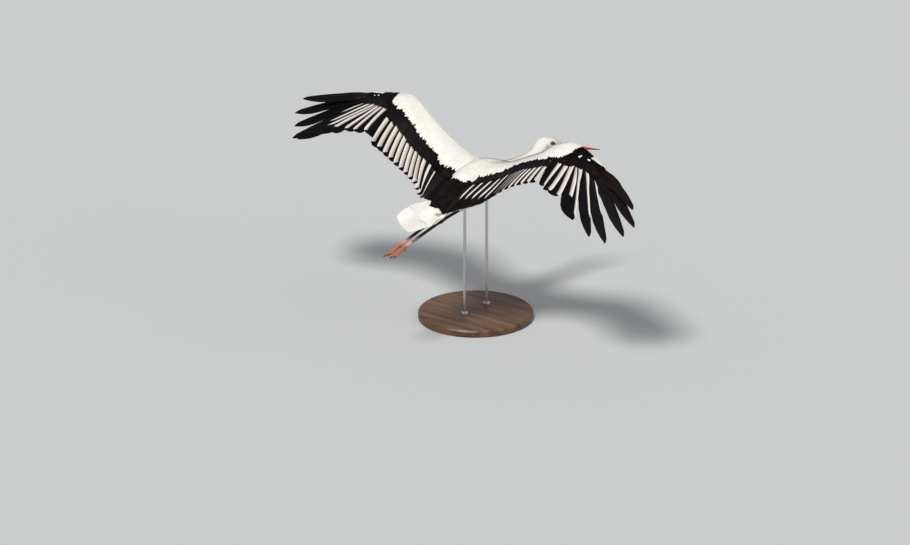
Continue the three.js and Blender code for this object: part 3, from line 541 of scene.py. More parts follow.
def merged_by_voxels(name, pieces, voxel, smoothing):
    """One closed surface around all the pieces, smoothed where they join."""
    made = make_mesh(name, *joined(pieces))
    remesh = made.modifiers.new("one surface", "REMESH")
    remesh.mode = "VOXEL"
    remesh.voxel_size = voxel / 1000
    remesh.use_smooth_shade = True
    soften = made.modifiers.new("soften", "SMOOTH")
    soften.factor = 0.5
    soften.iterations = smoothing
    shown = made.evaluated_get(bpy.context.evaluated_depsgraph_get())
    mesh = bpy.data.meshes.new_from_object(shown)
    bpy.data.objects.remove(made)
    points = np.empty(len(mesh.vertices) * 3, dtype=np.float32)
    mesh.vertices.foreach_get("co", points)
    mesh.calc_loop_triangles()
    tris = np.empty(len(mesh.loop_triangles) * 3, dtype=np.int32)
    mesh.loop_triangles.foreach_get("vertices", tris)
    bpy.data.meshes.remove(mesh)
    return points.reshape(-1, 3) * 1000 - SHOULDER, tris.reshape(-1, 3)


def foot_parts(sign):
    """Bare shank, tarsus and toes of one leg, and way, tip and radius of each toe."""
    knee, heel, ankle = leg_joints(sign)
    leg_back = unit(ankle - heel)
    palm = ankle + leg_back * (ANKLE_RADIUS - 1)

    def shank(t):
        return mix(SHANK_RADIUS, HEEL_RADIUS * 0.86, ease(share(t, 0.74, 1)))

    def tarsus(t):
        heel_swell = (HEEL_RADIUS - TARSUS_RADIUS) * (1 - ease(share(t, 0.0, 0.13)))
        return (TARSUS_RADIUS + heel_swell
                + (ANKLE_RADIUS - TARSUS_RADIUS) * 0.8 * ease(share(t, 0.9, 1)))

    def pad(t):
        return ANKLE_RADIUS * 0.95 * np.sqrt(np.clip(1 - (2 * t - 1) ** 2, 0.02, 1))

    def toe(radius, joints, t):
        pads = 0.13 * np.cos(t * 2 * np.pi * joints)
        blunt = np.sqrt(np.clip(1 - share(t, 0.9, 1.0) ** 2 * 0.8, 0.05, 1))
        return radius * (1 - 0.34 * t) * (1 + pads) * blunt

    parts = [limb(mix(knee, heel, THIGH_BARE_FROM - 0.1), heel, shank, 18, 50),
             limb(heel - leg_back * 3, ankle + leg_back * 2, tarsus, 18, 90),
             limb(palm - leg_back * 8, palm + leg_back * 7, pad, 16, 12)]
    toes = []
    for turn, length, droop, radius in TOES:
        yaw, down = math.radians(turn) * -sign, math.radians(droop)
        way = np.array([math.sin(yaw) * math.cos(down), math.cos(yaw) * math.cos(down),
                        -math.sin(down)])
        tip = palm + way * length
        parts.append(limb(palm, tip, partial(toe, radius, 2 if length < 40 else 3.5), 14, 40))
        toes.append((way, tip, radius))
    for one, two in ((0, 1), (1, 2)):
        web_end = palm + unit(toes[one][0] + toes[two][0]) * 21
        parts.append(limb(palm, web_end, lambda t: 4.2 * (1 - 0.55 * t), 12, 8, flat=0.45))
    return parts, toes


def build_claws():
    def claw(way, tip, radius, t, angle, out):
        side, up = axes_of(way)
        size = radius * 0.62 * (1 - 0.86 * t) * out
        centre = tip + way * mix(-4, CLAW_LENGTH, t)[:, None]
        drop = (size * np.cos(angle) * 0.8 - 4 * t * t)[:, None]
        return centre + side * (size * np.sin(angle))[:, None] + up * drop

    return make_mesh("claws", *joined([tube(partial(claw, *toe), 10, 10)
                                       for sign in SIDES for toe in foot_parts(sign)[1]]))


def white_skin_parts():
    def trunk(at, angle, out):
        return body_point(at, angle, skin_margin(at), out)

    parts = [tube(trunk, 56, 150, 0.0, AXIS_LAST)] + [wing_skin(pose) for pose in WINGS]
    for sign in SIDES:
        knee, heel, _ = leg_joints(sign)
        parts.append(limb(knee, mix(knee, heel, THIGH_BARE_FROM),
                          lambda t: np.maximum(3, thigh_radius(t) - 2.5), 24, 30))
    return parts


# ---------------------------------------------------------------- colours

WHITE = np.array([0.86, 0.825, 0.755])
BLACK = np.array([0.0034, 0.0032, 0.0042])
BROWN_BLACK = np.array([0.015, 0.0085, 0.0065])
SILVER = np.array([0.78, 0.725, 0.655])
SILVER_SHADED = SILVER * (0.52, 0.47, 0.42)
BILL_RED = np.array([0.56, 0.055, 0.030])
# painted shade for the bill's base and for its nostril slits
BILL_PAINTED_SHADE = np.array([0.10, 0.012, 0.010])
IRIS = np.array([0.045, 0.018, 0.009])
# painted sheen: the bluish tint that the dark feathers take on towards grazing angles
PAINTED_SHEEN = (0.007, 0.008, 0.010, 1)
SHAFT = (0.05, 0.04, 0.035, 1)
CLAW_TONES = (0.012, 0.009, 0.008, 1), (0.045, 0.032, 0.026, 1)
# painted shadow: the shank and upper tarsus are near black, as in the tail's shadow, until y
# reaches LEG_TURNS_PALE; below that the tarsus is chalky pale pink
LEG_PAINTED_SHADOW = np.array([0.013, 0.010, 0.018])
LEG_TURNS_PALE = 444, 478       # y
LEG_TURNS_RED = 502, 524
LEG_PALE = np.array([0.78, 0.42, 0.37])
TOE_RED = np.array([0.50, 0.165, 0.07])
WALNUT_TONES = (0.060, 0.027, 0.012, 1), (0.19, 0.098, 0.048, 1)
WALNUT_PORE = (0.025, 0.012, 0.006, 1)
STEEL_TONES = (0.42, 0.42, 0.43, 1), (0.66, 0.66, 0.67, 1)
FLOOR_GREY = (0.50, 0.50, 0.495, 1)

# ---------------------------------------------------------------- feathers

UV_PATCH = 0.003        # of the unwrap for each small feather
# Places of the unwrap: left, bottom, right, top
UNWRAP = {
    "body": (0.01, 0.01, 0.49, 0.99),
    "left_top": (0.51, 0.01, 0.99, 0.24),
    "left_under": (0.51, 0.26, 0.99, 0.49),
    "right_top": (0.51, 0.51, 0.99, 0.74),
    "right_under": (0.51, 0.76, 0.99, 0.99),
    "tail_top": (0.51, 0.245, 0.74, 0.255),
    "thigh": (0.76, 0.495, 0.99, 0.505),
}


class Template:
    """Corners and faces of one closed feather: a thin lens whose two faces share their rim.

    tau is the place along the feather and sigma the place across it, from -1 to 1."""

    def __init__(self, tau_rows, sigma_cols):
        along, across = len(tau_rows) - 1, len(sigma_cols) - 1
        inner_rows, inner_cols = tau_rows[1:-1], sigma_cols[1:-1]
        self.tau = np.concatenate([np.repeat(tau_rows, across + 1),
                                   np.repeat(inner_rows, across - 1)])
        self.sigma = np.concatenate([np.tile(sigma_cols, along + 1),
                                     np.tile(inner_cols, along - 1)])
        self.size = len(self.tau)
        count = (along + 1) * (across + 1)
        self.under = (np.arange(self.size) >= count).astype(float)
        top = np.arange(count).reshape(along + 1, across + 1)
        bottom = top.copy()
        bottom[1:-1, 1:-1] = np.arange(count, self.size).reshape(along - 1, across - 1)

        def quads(ids):
            return np.stack([ids[:-1, :-1], ids[:-1, 1:], ids[1:, 1:], ids[1:, :-1]],
                            -1).reshape(-1, 4)

        self.faces = np.vstack([quads(top), quads(bottom)[:, ::-1]])
        self.face_under = np.repeat([0, 1], along * across)


SMALL = Template((0, 0.55, 0.8, 0.94, 1), (-1, 0, 1))
MIDDLE = Template((0, 0.5, 0.73, 0.88, 0.965, 1), (-1, -0.5, 0, 0.5, 1))
LARGE = Template((0, 0.3, 0.5, 0.66, 0.79, 0.89, 0.96, 1), (-1, -0.5, 0, 0.5, 1))
BROAD = Template((0, 0.25, 0.5, 0.68, 0.76, 0.83, 0.89, 0.935, 0.97, 0.992, 1),
                 (-1, -0.75, -0.4, 0, 0.4, 0.75, 1))
COAT = {}               # the batches of feathers of each piece
ROOT_COLOURS = []       # place and colour of feather roots, for the skin under them


def add_to_coat(piece, template, points, colours, bake, vane, marks):
    """points and colours (n, size, 3); bake and vane (n, corners, 2); marks (n, size)."""
    n = len(points)
    flat = points.reshape(-1, 3)
    faces = (template.faces[None] + np.arange(n)[:, None, None] * template.size).reshape(-1, 4)
    first, second, third, _ = flat[template.faces].swapaxes(0, 1)
    turned = np.einsum("fi,fi->f", first - flat[: template.size].mean(0),
                       np.cross(second - first, third - first))
    bake, vane = bake.reshape(n, -1, 4, 2), vane.reshape(n, -1, 4, 2)
    if turned.sum() < 0:
        faces = faces[:, ::-1]
        bake, vane = bake[:, :, ::-1], vane[:, :, ::-1]
    COAT.setdefault(piece, []).append((flat, faces, bake.reshape(-1, 2), vane.reshape(-1, 2),
                                       colours.reshape(-1, 3), marks.reshape(-1)))


def coat_piece(name):
    """All the feathers of one piece as one mesh."""
    points, faces, bake, vane, colours, marks = zip(*COAT.pop(name))
    made = make_mesh(name, *joined(zip(points, faces)),
                     {"OFBake": np.vstack(bake), "Vane": np.vstack(vane)},
                     np.vstack(colours), sharp=50)
    layer = made.data.attributes.new("Marks", "FLOAT", "POINT")
    layer.data.foreach_set("value", np.concatenate(marks).astype(np.float32))
    return made


def on_unwrap(region, u, v):
    left, bottom, right, top = UNWRAP[region]
    return np.stack([mix(left, right, np.clip(u, 0, 1)), mix(bottom, top, np.clip(v, 0, 1))], -1)


def feathers(piece, surface, s, t, length, width, colour, template=SMALL, heading=0.0,
             lift=(-1.5, 1.0), cup=0.08, thick=0.8, rounding=0.5, power=2.4, base=0.5,
             region=None, uneven=0.02):
    """A batch of feathers rooted at (s, t) of a surface and lying towards +s.

    surface(s, t, x, y, height) gives the points reached from a root by going x along the
    lie and y across it. lift holds the heights of root and tip, cup is how far the edges
    bend down, as a share of the width, and rounding is the share of the length past which
    the end rounds off."""
    n = len(s)
    if n == 0:
        return

    def column(value):
        return np.broadcast_to(np.asarray(value, float), (n,))[:, None]

    length, width = column(length), column(width)
    tau, sigma = template.tau[None], template.sigma[None]
    outline = mix(base, 1, ease(tau / 0.4)) * np.sqrt(
        np.clip(1 - share(tau, rounding, 1.0) ** power, 0.006, 1))
    ragged = 1 + uneven * rng.normal(size=(n, template.size)) * np.abs(sigma)
    x = length * tau * (1 - 0.06 * sigma ** 2 * tau)
    y = width / 2 * outline * sigma * ragged
    turn = column(heading) + rng.normal(0, 0.05, (n, 1))
    along = x * np.cos(turn) - y * np.sin(turn)
    across = x * np.sin(turn) + y * np.cos(turn)
    root_lift, tip_lift = column(lift[0]), column(lift[1]) * rng.uniform(0.75, 1.25, (n, 1))
    height = mix(root_lift, tip_lift, tau) - cup * width * sigma ** 2 * outline ** 2
    side = np.where(template.under[None] > 0, -0.5, 0.5)
    height = height + side * thick * (1 - sigma ** 2) * (1 - 0.55 * tau)
    points = surface(s[:, None], t[:, None], along, across, height)
    # tone varies at random from feather to feather; painted shade makes each one darker towards
    # its root, under the feathers that overlap it
    tone = rng.normal(0, 0.025, (n, 1, 1))
    shade = 1 + tone - 0.05 * (1 - tau[..., None])
    colour = np.broadcast_to(colour, (n, 3))
    corner = template.faces.ravel()
    patch = np.stack([template.sigma[corner] / 2, template.tau[corner] - 0.5], -1) * UV_PATCH
    vane = np.stack([template.sigma[corner] / 2 + 0.5, template.tau[corner]], -1)
    add_to_coat(piece, template, points, np.clip(colour[:, None] * shade, 0, 1),
                on_unwrap(*region)[:, None] + patch[None],
                np.broadcast_to(vane[None], (n, len(corner), 2)), np.zeros((n, template.size)))
    ROOT_COLOURS.append((points[:, 0], colour))


def body_surface(s, t, x, y, height):
    """s is the place along the axis in rows, t the angle from the ridge, left positive."""
    at = moved_back(s, x)
    radius = np.maximum(8, girth_radius(at, np.broadcast_to(t, at.shape)))
    return body_point(at, t + y / radius, height)


def wing_surface(pose, sign):
    """The upper (1) or lower (-1) side of the flesh of a wing.

    s is -b, so that the lie runs to the rear, and t is a, outwards."""
    def surface(s, t, x, y, height):
        a, b = t + y, -(s + x)
        back = share(b, front_edge(pose, a), covert_rear(pose, a))
        flesh = (1 if sign > 0 else UNDER_FLESH) * flesh_top(pose, a, back)
        ground = np.maximum(flesh, COVERT_BED * ease(back * 2.5))
        return wing_point(pose, a, b, sign * (ground + height))
    return surface


# ---------------------------------------------------------------- coat of the body

# place on the axis, exposed length and width of a feather; the face is at the start
FEATHER_GRAIN = [(0.0, 1.6, 2.2), (1.5, 1.8, 2.5), (3.0, 2.1, 3.1), (5.0, 3.1, 4.4),
                 (7.5, 4.8, 7.0), (10.0, 7.0, 11.5), (13.0, 8.5, 14.5), (16.0, 8.5, 14.0)]
HEAD_COAT_END, NECK_COAT_END = 4.2, 9.2     # places on the axis
BARE_EYE = (13.0, 9.5, 7.2)     # half sizes of the bare patch: ahead, behind, up and down


def head_local(points):
    return (points - HEAD_CENTRE) @ HEAD_TURN


def bare_patch(points):
    """How far places of the head are from the eyes, 1 on the rim of the bare patch."""
    local = head_local(points)
    y, z = local[:, 1] - EYE[1], local[:, 2] - EYE[2]
    wide = np.where(y < 0, BARE_EYE[0], BARE_EYE[1])
    tall = BARE_EYE[2] * (1 - 0.35 * np.clip(-y / BARE_EYE[0], 0, 1))
    away = np.hypot(y / wide, z / tall)
    return np.where(np.abs(local[:, 0]) > 8, away, 9.0)


def full_ring(count, index, start=0.0):
    """Angles of count feathers around a body, those of every second ring half a step on."""
    return (np.arange(count) + 0.5 * (index % 2)) / count * 2 * np.pi - start


def cover_body():
    ring = np.linspace(-np.pi, np.pi, 73)
    at, index = 0.02, 0
    while at < AXIS_LAST - 0.35:
        exposed, wide = (table(FEATHER_GRAIN, at, column) for column in (1, 2))
        radius = girth_radius(np.full(len(ring), at), ring).mean()
        count = max(9, int(2 * np.pi * radius / (wide * 0.62)))
        angle = full_ring(count, index, np.pi) + rng.normal(0, 0.09 * 2 * np.pi / count, count)
        place = np.full(count, at) + rng.normal(0, 0.012, count)
        root = body_point(place, angle, np.zeros(count))
        keep = (bare_patch(root) > 1.0) & ~under_scapulars(root)
        place, angle = place[keep], angle[keep]
        length = exposed * mix(4.2, 5.4, rng.random(len(place)))
        if 1.0 < at < 4.0:      # none reaches over the bare skin of the eye
            for _ in range(10):
                tips = body_surface(place, angle, length, 0 * length, 0 * length)
                length = np.where(bare_patch(tips) < 1.0, length * 0.85, length)
        piece = "head" if at < HEAD_COAT_END else "neck" if at < NECK_COAT_END else "trunk"
        down_neck = share(at, 2, 9)
        feathers(f"coat_{piece}", body_surface, place, angle, length, wide * 1.2, WHITE,
                 lift=(skin_margin(np.array(at)) * 0.75, mix(0.12, 0.4, down_neck)), cup=0.02,
                 thick=mix(0.22, 0.45, down_neck), rounding=0.15,
                 power=mix(1.5, 2.2, share(at, 4, 10)),
                 region=("body", place / AXIS_LAST, angle / 2 / np.pi + 0.5))
        at, index = float(moved_back(at, exposed)), index + 1


SCAPULAR_FRONT = [(0, 168), (20, 158), (45, 128), (75, 100), (100, 96)]   # degrees, y
SCAPULAR_ROWS = np.arange(96, 262, 12.5)    # y
SCAPULAR_TIPS = 322     # y of the rear ends


def scapular_side(y, sign):
    """How far round the body the dark scapulars go, in degrees from the ridge."""
    return mix(60, np.where(sign > 0, 84, 106), share(y, 120, 210))


def under_scapulars(points):
    """Whether the dark scapulars cover places of the back."""
    x, y, z = points[..., 0], points[..., 1], points[..., 2]
    row = through(at_y(y))
    angle = np.degrees(np.arctan2(np.abs(x - row[..., 0]) / row[..., 3],
                                  (z - row[..., 2]) / row[..., 4]))
    front = table(SCAPULAR_FRONT, np.abs(angle))
    return (y > front - 8) & (y < 268) & (angle < scapular_side(y, x) - 6)


def cover_scapulars():
    for sign in SIDES:
        for index, y in enumerate(SCAPULAR_ROWS):
            width = mix(26, 40, share(y, 96, 190))
            at = float(at_y(y))
            step = width * 0.56 / float(girth_radius(np.array(at), np.array(0.6)))
            angle = np.arange(0.02 + (index % 2) * step / 2,
                              math.radians(float(scapular_side(y, sign))), step)
            angle = angle + rng.normal(0, step * 0.1, len(angle))
            past = y - table(SCAPULAR_FRONT, np.degrees(angle))
            angle, past = angle[past > -22], past[past > -22]
            n = len(angle)
            length = mix(38, 120, share(past, -10, 70)) * rng.uniform(0.92, 1.08, n)
            to_tips = SCAPULAR_TIPS - y + rng.uniform(-8, 8, n) + 8 * np.cos(angle)
            length = np.minimum(length, to_tips)
            angle, length = angle[length > 26], length[length > 26]
            place = np.full(len(angle), at)
            tint = mix(BROWN_BLACK * 1.15, BLACK, 0.15 + 0.7 * rng.random((len(angle), 1)))
            feathers("coat_scapulars", body_surface, place, sign * angle, length, width, tint,
                     BROAD, heading=sign * 0.10, lift=(-2.6, 3.4), cup=0.05, thick=0.9,
                     rounding=0.66, power=2.0,
                     region=("body", place / AXIS_LAST, sign * angle / 2 / np.pi + 0.5))


def cover_thighs():
    for sign in SIDES:
        knee, heel, _ = leg_joints(sign)
        way = mix(knee, heel, THIGH_BARE_FROM) - knee
        whole = np.linalg.norm(way)
        back = way / whole
        left, up = axes_of(back)

        def surface(s, t, x, y, height):
            portion = (s + x) / whole
            radius = mix(thigh_radius(np.clip(portion, 0, 1)), 7.4, share(portion, 1.0, 1.1))
            angle = t + y / np.maximum(radius, 5)
            size = (radius + height)[..., None]
            return (knee + back * (s + x)[..., None] + left * np.sin(angle)[..., None] * size
                    + up * np.cos(angle)[..., None] * size)

        for index, s in enumerate(np.arange(6, whole + 1, 7.5)):
            radius = float(thigh_radius(np.array(s / whole)))
            wide = mix(14, 9, s / whole)
            count = max(7, int(2 * np.pi * radius / (wide * 0.6)))
            angle = full_ring(count, index) + rng.normal(0, 0.08, count)
            place = np.full(count, float(s))
            feathers("coat_trunk", surface, place, angle, 21 * rng.uniform(0.9, 1.1, count),
                     wide, WHITE, lift=(-1.5, 0.4), thick=0.45, rounding=0.2, power=2.0,
                     region=("thigh", place / whole * 0.5 + (sign > 0) * 0.5, angle / 7))


# ---------------------------------------------------------------- coat of the wings

# Rear edge of the white coverts above, b at a; further out the wing is dark
WHITE_REAR = {
    "left": [(-40, -116), (60, -108), (85, -100), (120, -74), (154, -68), (206, -60), (300, -36),
             (360, -28), (405, -24), (425, 5), (436, 60)],
    "right": [(-40, -116), (10, -110), (45, -98), (100, -82), (166, -66), (232, -64), (290, -76),
              (380, -80), (416, -56), (430, 2), (440, 60)],
}
# Rear edge of the dark coverts behind them
SILVER_FROM = {
    "left": [(0, -140), (120, -114), (190, -108), (250, -100), (315, -84), (400, -76),
             (535, -30)],
    "right": [(0, -124), (70, -104), (178, -88), (250, -86), (300, -80), (372, -92),
              (535, -60)],
}
# How far along the feathers the silver goes, from the wrist to the body
SILVER_ENDS = {
    "left": [(0, 0.958), (0.7, 0.95), (0.85, 0.92), (1, 0.85)],
    "right": [(0, 0.958), (0.3, 0.95), (0.42, 0.93), (0.5, 0.9), (0.6, 0.84), (0.7, 0.76),
              (0.8, 0.72), (1, 0.74)],
}
# How wide the silver of the secondaries and tertials is, from the wrist to the body; on the right
# wing's tertials it is painted glints of light on their edges
SILVER_AND_GLINT_WIDTH = {
    "left": [(0, 1), (0.62, 1), (0.75, 0.6), (0.85, 0.25), (0.93, 0), (1, 0)],
    "right": [(0, 1), (0.1, 0.9), (0.2, 0.62), (0.4, 0.6), (0.6, 0.66), (0.7, 0.45), (1, 0.4)],
}
# How wide the silver is, and how far it goes, on the primaries
SILVER_PRIMARIES = {
    "left": [(0, 1), (0, 1), (0.2, 0.4), (0.5, 0.5), (0.8, 0.66), (1, 0.82), (1, 0.92)]
            + [(1, 0.975)] * 3,
    "right": [(0, 1), (0, 1), (0.2, 0.6), (0.5, 0.72), (0.8, 0.8), (1, 0.975), (1, 0.82)]
             + [(1, 0.975)] * 3,
}
LEADING_PATCH = (505, 572)      # a of the white patch on the hand's front edge
# White spots on the dark coverts: a, b and radius
SPOTS = {
    "left": [(520, 33, 3.5), (541, 31, 3)],
    "right": [(425, -22, 9), (467, -18, 5), (505, -6, 4)],
}
UNDER_GREATER_LENGTH = 62       # of the white coverts over the flight feathers' roots below
THUMB_LENGTHS = (94, 82, 68, 52)
PLAN_SPAN = (-20, 640), (-320, 420)     # start and size of the unwrapped plan, for a and b


def wing_top_colour(pose, a, b):
    """Colours of coverts whose tips are at a, b, and whether they are white."""
    wander = 5 * grid_noise(np.stack([a, a * 0, a * 0], -1), 34, 7)
    shift = pose.wrist_a - 400
    out = share(a - shift, *LEADING_PATCH)
    white = b > table(WHITE_REAR[pose.name], a) + wander
    white |= (out > 0) & (out < 1) & (b > front_edge(pose, a) - mix(22, 7, out))
    for spot_a, spot_b, size in SPOTS[pose.name]:
        white |= np.hypot(a - spot_a - shift, (b - spot_b) * 0.8) < size
    dark = mix(BLACK, BROWN_BLACK, rng.random((len(a), 1)) ** 2 * 0.7)
    return np.where(white[:, None], WHITE, dark), white


def coverts(piece, pose, sign, a, b, length, width, colour, template=LARGE, **shape):
    """Feathers of the upper (1) or lower (-1) side of a wing, rooted at a, b of its plan."""
    (first_a, size_a), (first_b, size_b) = PLAN_SPAN
    side = "top" if sign > 0 else "under"
    feathers(f"{piece}_{pose.name}", wing_surface(pose, sign), -b, a, length, width, colour,
             template, region=(f"{pose.name}_{side}", (a - first_a) / size_a,
                               (b - first_b) / size_b), **shape)


def lone_covert(piece, pose, sign, root, way, length, width, colour, cup=0.03, **shape):
    """One large covert, from its root on the spread plan along a way."""
    a, b = root[:, None]
    coverts(piece, pose, sign, a, b, length, width, colour, cup=cup,
            thick=0.8 if sign > 0 else 0.9, heading=math.atan2(way[0], -way[1]), **shape)


def half_numbers(count):
    """Numbers of the feathers and, between them, of the gaps."""
    return np.arange(0, count, 0.5)


def primary_lines(pose, outer_reach, inner_reach):
    """Lines of the primaries and between them, and how far a covert reaches along each."""
    for number in half_numbers(INNER):
        line = line_between(pose, int(number), int(number) + 1, number % 1)
        reach = mix(outer_reach, inner_reach, number / (INNER - 0.5))
        yield line, reach / np.linalg.norm(line[1] - line[0])


def small_coverts_above(pose):
    """Rows from the front edge to the edge of the white and over the hand."""
    portions = np.concatenate([[0], np.cumsum(np.linspace(3.6, 8.6, 20))])
    hand_end = pose.wrist_a + HAND_LENGTH - 10
    for index, portion in enumerate(portions / portions[-1]):
        a = np.arange(-24, hand_end, mix(5.0, 8.5, portion))
        a = a + (index % 2) * mix(2.5, 4.2, portion) + rng.normal(0, 0.7, len(a))
        front = front_edge(pose, a)
        reach = np.where(a < pose.wrist_a, table(WHITE_REAR[pose.name], a) + 12, front - 58)
        reach = np.minimum(reach, front - mix(105, 40, share(a, pose.wrist_a, hand_end) ** 0.6))
        b = mix(front - 1.0, reach, portion)
        length = np.clip((front - reach) / 20 * mix(0.65, 1.5, portion) * 4.2, 9, 36)
        swing = mix(0.02, 0.42, share(a, pose.wrist_a - 40, hand_end))
        tint, white = wing_top_colour(pose, a + length * np.sin(swing), b - length)
        b = b + rng.normal(0, 0.5, len(a))
        length = length * rng.uniform(0.95, 1.05, len(a))
        for keep, piece in ((white, "coat_white"), (~white, "coat_dark")):
            coverts(piece, pose, 1, a[keep], b[keep], length[keep], mix(7.5, 13.5, portion),
                    tint[keep], SMALL if portion < 0.6 else MIDDLE, heading=swing[keep],
                    lift=(-1.9, 0.6), cup=0.02, thick=0.4, rounding=0.3, power=2.0)


def greater_coverts_above(pose):
    """Dark ones over the secondaries and tertials, from the edge of the white."""
    wrist_gap = [(line_between(pose, INNER, INNER - 1, t), 0)
                 for t in (0.85, 0.68, 0.51, 0.34, 0.17)]
    inner_lines = [(feather_line(pose, INNER + n), n) for n in half_numbers(INNER_COUNT + 1)]
    for (root, tip, _), inner in wrist_gap + inner_lines:
        way = tip - root
        first = (table(WHITE_REAR[pose.name], root[0]) + 12 - root[1]) / way[1]
        last = (table(SILVER_FROM[pose.name], root[0]) - 6 - root[1]) / way[1]
        one = root + way * max(first, 0.02)
        span = root + way * min(max(last, first + 0.25), 0.62) - one
        tint = mix(BLACK, BROWN_BLACK, rng.random((1, 1)) ** 2 * 1.3)
        raised = mix(2.4, 4.2, share(inner, SECONDARIES - 2, SECONDARIES + 2))
        lone_covert("coat_dark", pose, 1, one, span,
                    np.linalg.norm(span) * rng.uniform(0.96, 1.06), 30, tint,
                    lift=(-1.2, raised), rounding=0.62)


def primary_coverts_above(pose):
    for line, reach in primary_lines(pose, 105, 88):
        edge = table(WHITE_REAR[pose.name], line[0][0]) + 8
        first = min(max(0.015, (edge - line[0][1]) / (line[1][1] - line[0][1])), 0.3)
        one = on_line(line, first)
        span = on_line(line, max(reach, first + 0.15)) - one
        tint = mix(BLACK, BROWN_BLACK, rng.random((1, 1)) * 1.2)
        lone_covert("coat_dark", pose, 1, one, span, np.linalg.norm(span), 24, tint,
                    lift=(-1.6, 1.7), rounding=0.6)


def thumb_feathers(pose):
    for index, length in enumerate(THUMB_LENGTHS):
        a = np.array([pose.wrist_a + 14 + index * 3.0])
        b = front_edge(pose, a) - 24 - index * 4
        fall = float((b - front_edge(pose, a + length))[0]) + 14 + 5 * index
        coverts("alula", pose, 1, a, b, length, 17, BLACK[None],
                heading=math.atan2(length, fall), lift=(-1.0, 1.8 - 0.3 * index), cup=0.05,
                thick=1.0, rounding=0.66, base=0.7, uneven=0.01)


def small_coverts_below(pose):
    hand_end = pose.wrist_a + HAND_LENGTH - 12
    for index, portion in enumerate(np.linspace(0, 1, 11) ** 0.9):
        a = np.arange(-10, hand_end, mix(9, 15, portion))
        a = a + (index % 2) * 5.5 + rng.normal(0, 1.3, len(a))
        front = front_edge(pose, a)
        reach = covert_rear(pose, a) + 16
        b = mix(front - 1.5, reach, portion) + rng.normal(0, 0.8, len(a))
        length = np.clip((front - reach) / 10 * mix(2.2, 2.9, portion), 12, 46)
        coverts("coat_under", pose, -1, a, b, length * rng.uniform(0.93, 1.07, len(a)),
                mix(12, 23, portion), WHITE, SMALL if portion < 0.5 else MIDDLE,
                heading=mix(0.02, 0.45, share(a, pose.wrist_a - 40, hand_end)),
                lift=(-1.6, mix(1.3, 2.8, portion)), cup=0.04, thick=0.8, rounding=0.42)


def greater_coverts_below(pose):
    """White ones over the roots of the flight feathers."""
    for number in half_numbers(INNER_COUNT):
        root, tip, _ = feather_line(pose, INNER + number)
        way = tip - root
        start = (covert_rear(pose, root[:1])[0] + 34 - root[1]) / way[1]
        lone_covert("coat_under", pose, -1, root + way * max(start, 0.02),
                    way / np.linalg.norm(way) * UNDER_GREATER_LENGTH,
                    UNDER_GREATER_LENGTH * rng.uniform(0.95, 1.05), 27, WHITE[None],
                    lift=(1.2, 2.0), rounding=0.55)
    for line, reach in primary_lines(pose, 80, 64):
        one = on_line(line, 0.015)
        span = on_line(line, reach) - one
        lone_covert("coat_under", pose, -1, one, span, np.linalg.norm(span), 22,
                    WHITE[None] * 0.93, lift=(1.2, 1.8), cup=0.04, rounding=0.6)


# ---------------------------------------------------------------- flight feathers

FLIGHT = Template(1 - (1 - np.linspace(0, 1, 31)) ** 1.5,
                  (-1, -0.72, -0.4, -0.12, 0, 0.1, 0.36, 0.7, 1))
STRIPS = 64             # of the unwrap, one for each side of a feather
VANE_CAMBER = 0.0016
# Half widths of the outer and inner web, and the share of each that is left past its notch
PRIMARY_WEBS = {
    "left": [(17, inner, 0.85, 1.0) for inner in (38, 40, 42, 43, 44, 48)]
            + [(25, inner, 0.9, 0.9) for inner in (44, 44, 44, 62)],
    "right": [(17, 38, 0.65, 0.72), (17, 40, 0.65, 0.74), (17, 42, 0.65, 0.75),
              (17, 43, 0.65, 0.76), (17, 44, 0.65, 0.78), (17, 58, 0.65, 1.0),
              (20, 44, 0.9, 0.5), (22, 44, 0.9, 0.9), (25, 44, 0.9, 0.9), (25, 62, 0.9, 0.9)],
}
# Length of the rounding of a finger's outer and inner edge
FINGER_TIP = {"left": (20, 105), "right": (24, 150)}
LAST_FINGER_TIP = {"left": (20, 105), "right": (24, 95)}
# silver and tone of the last tertial; the right one's silver is a painted glint of light
LAST_TERTIAL = {"left": (0.0, 1), "right": (0.36, 0.8)}     # silver and tone
# How much painted brown highlight is mixed into the black of the primaries, only on the right
# wing's outer ones
BROWN_HIGHLIGHT_PAINTED = {"left": [0] * 10, "right": [0.5, 0.4, 0.2] + [0] * 7}


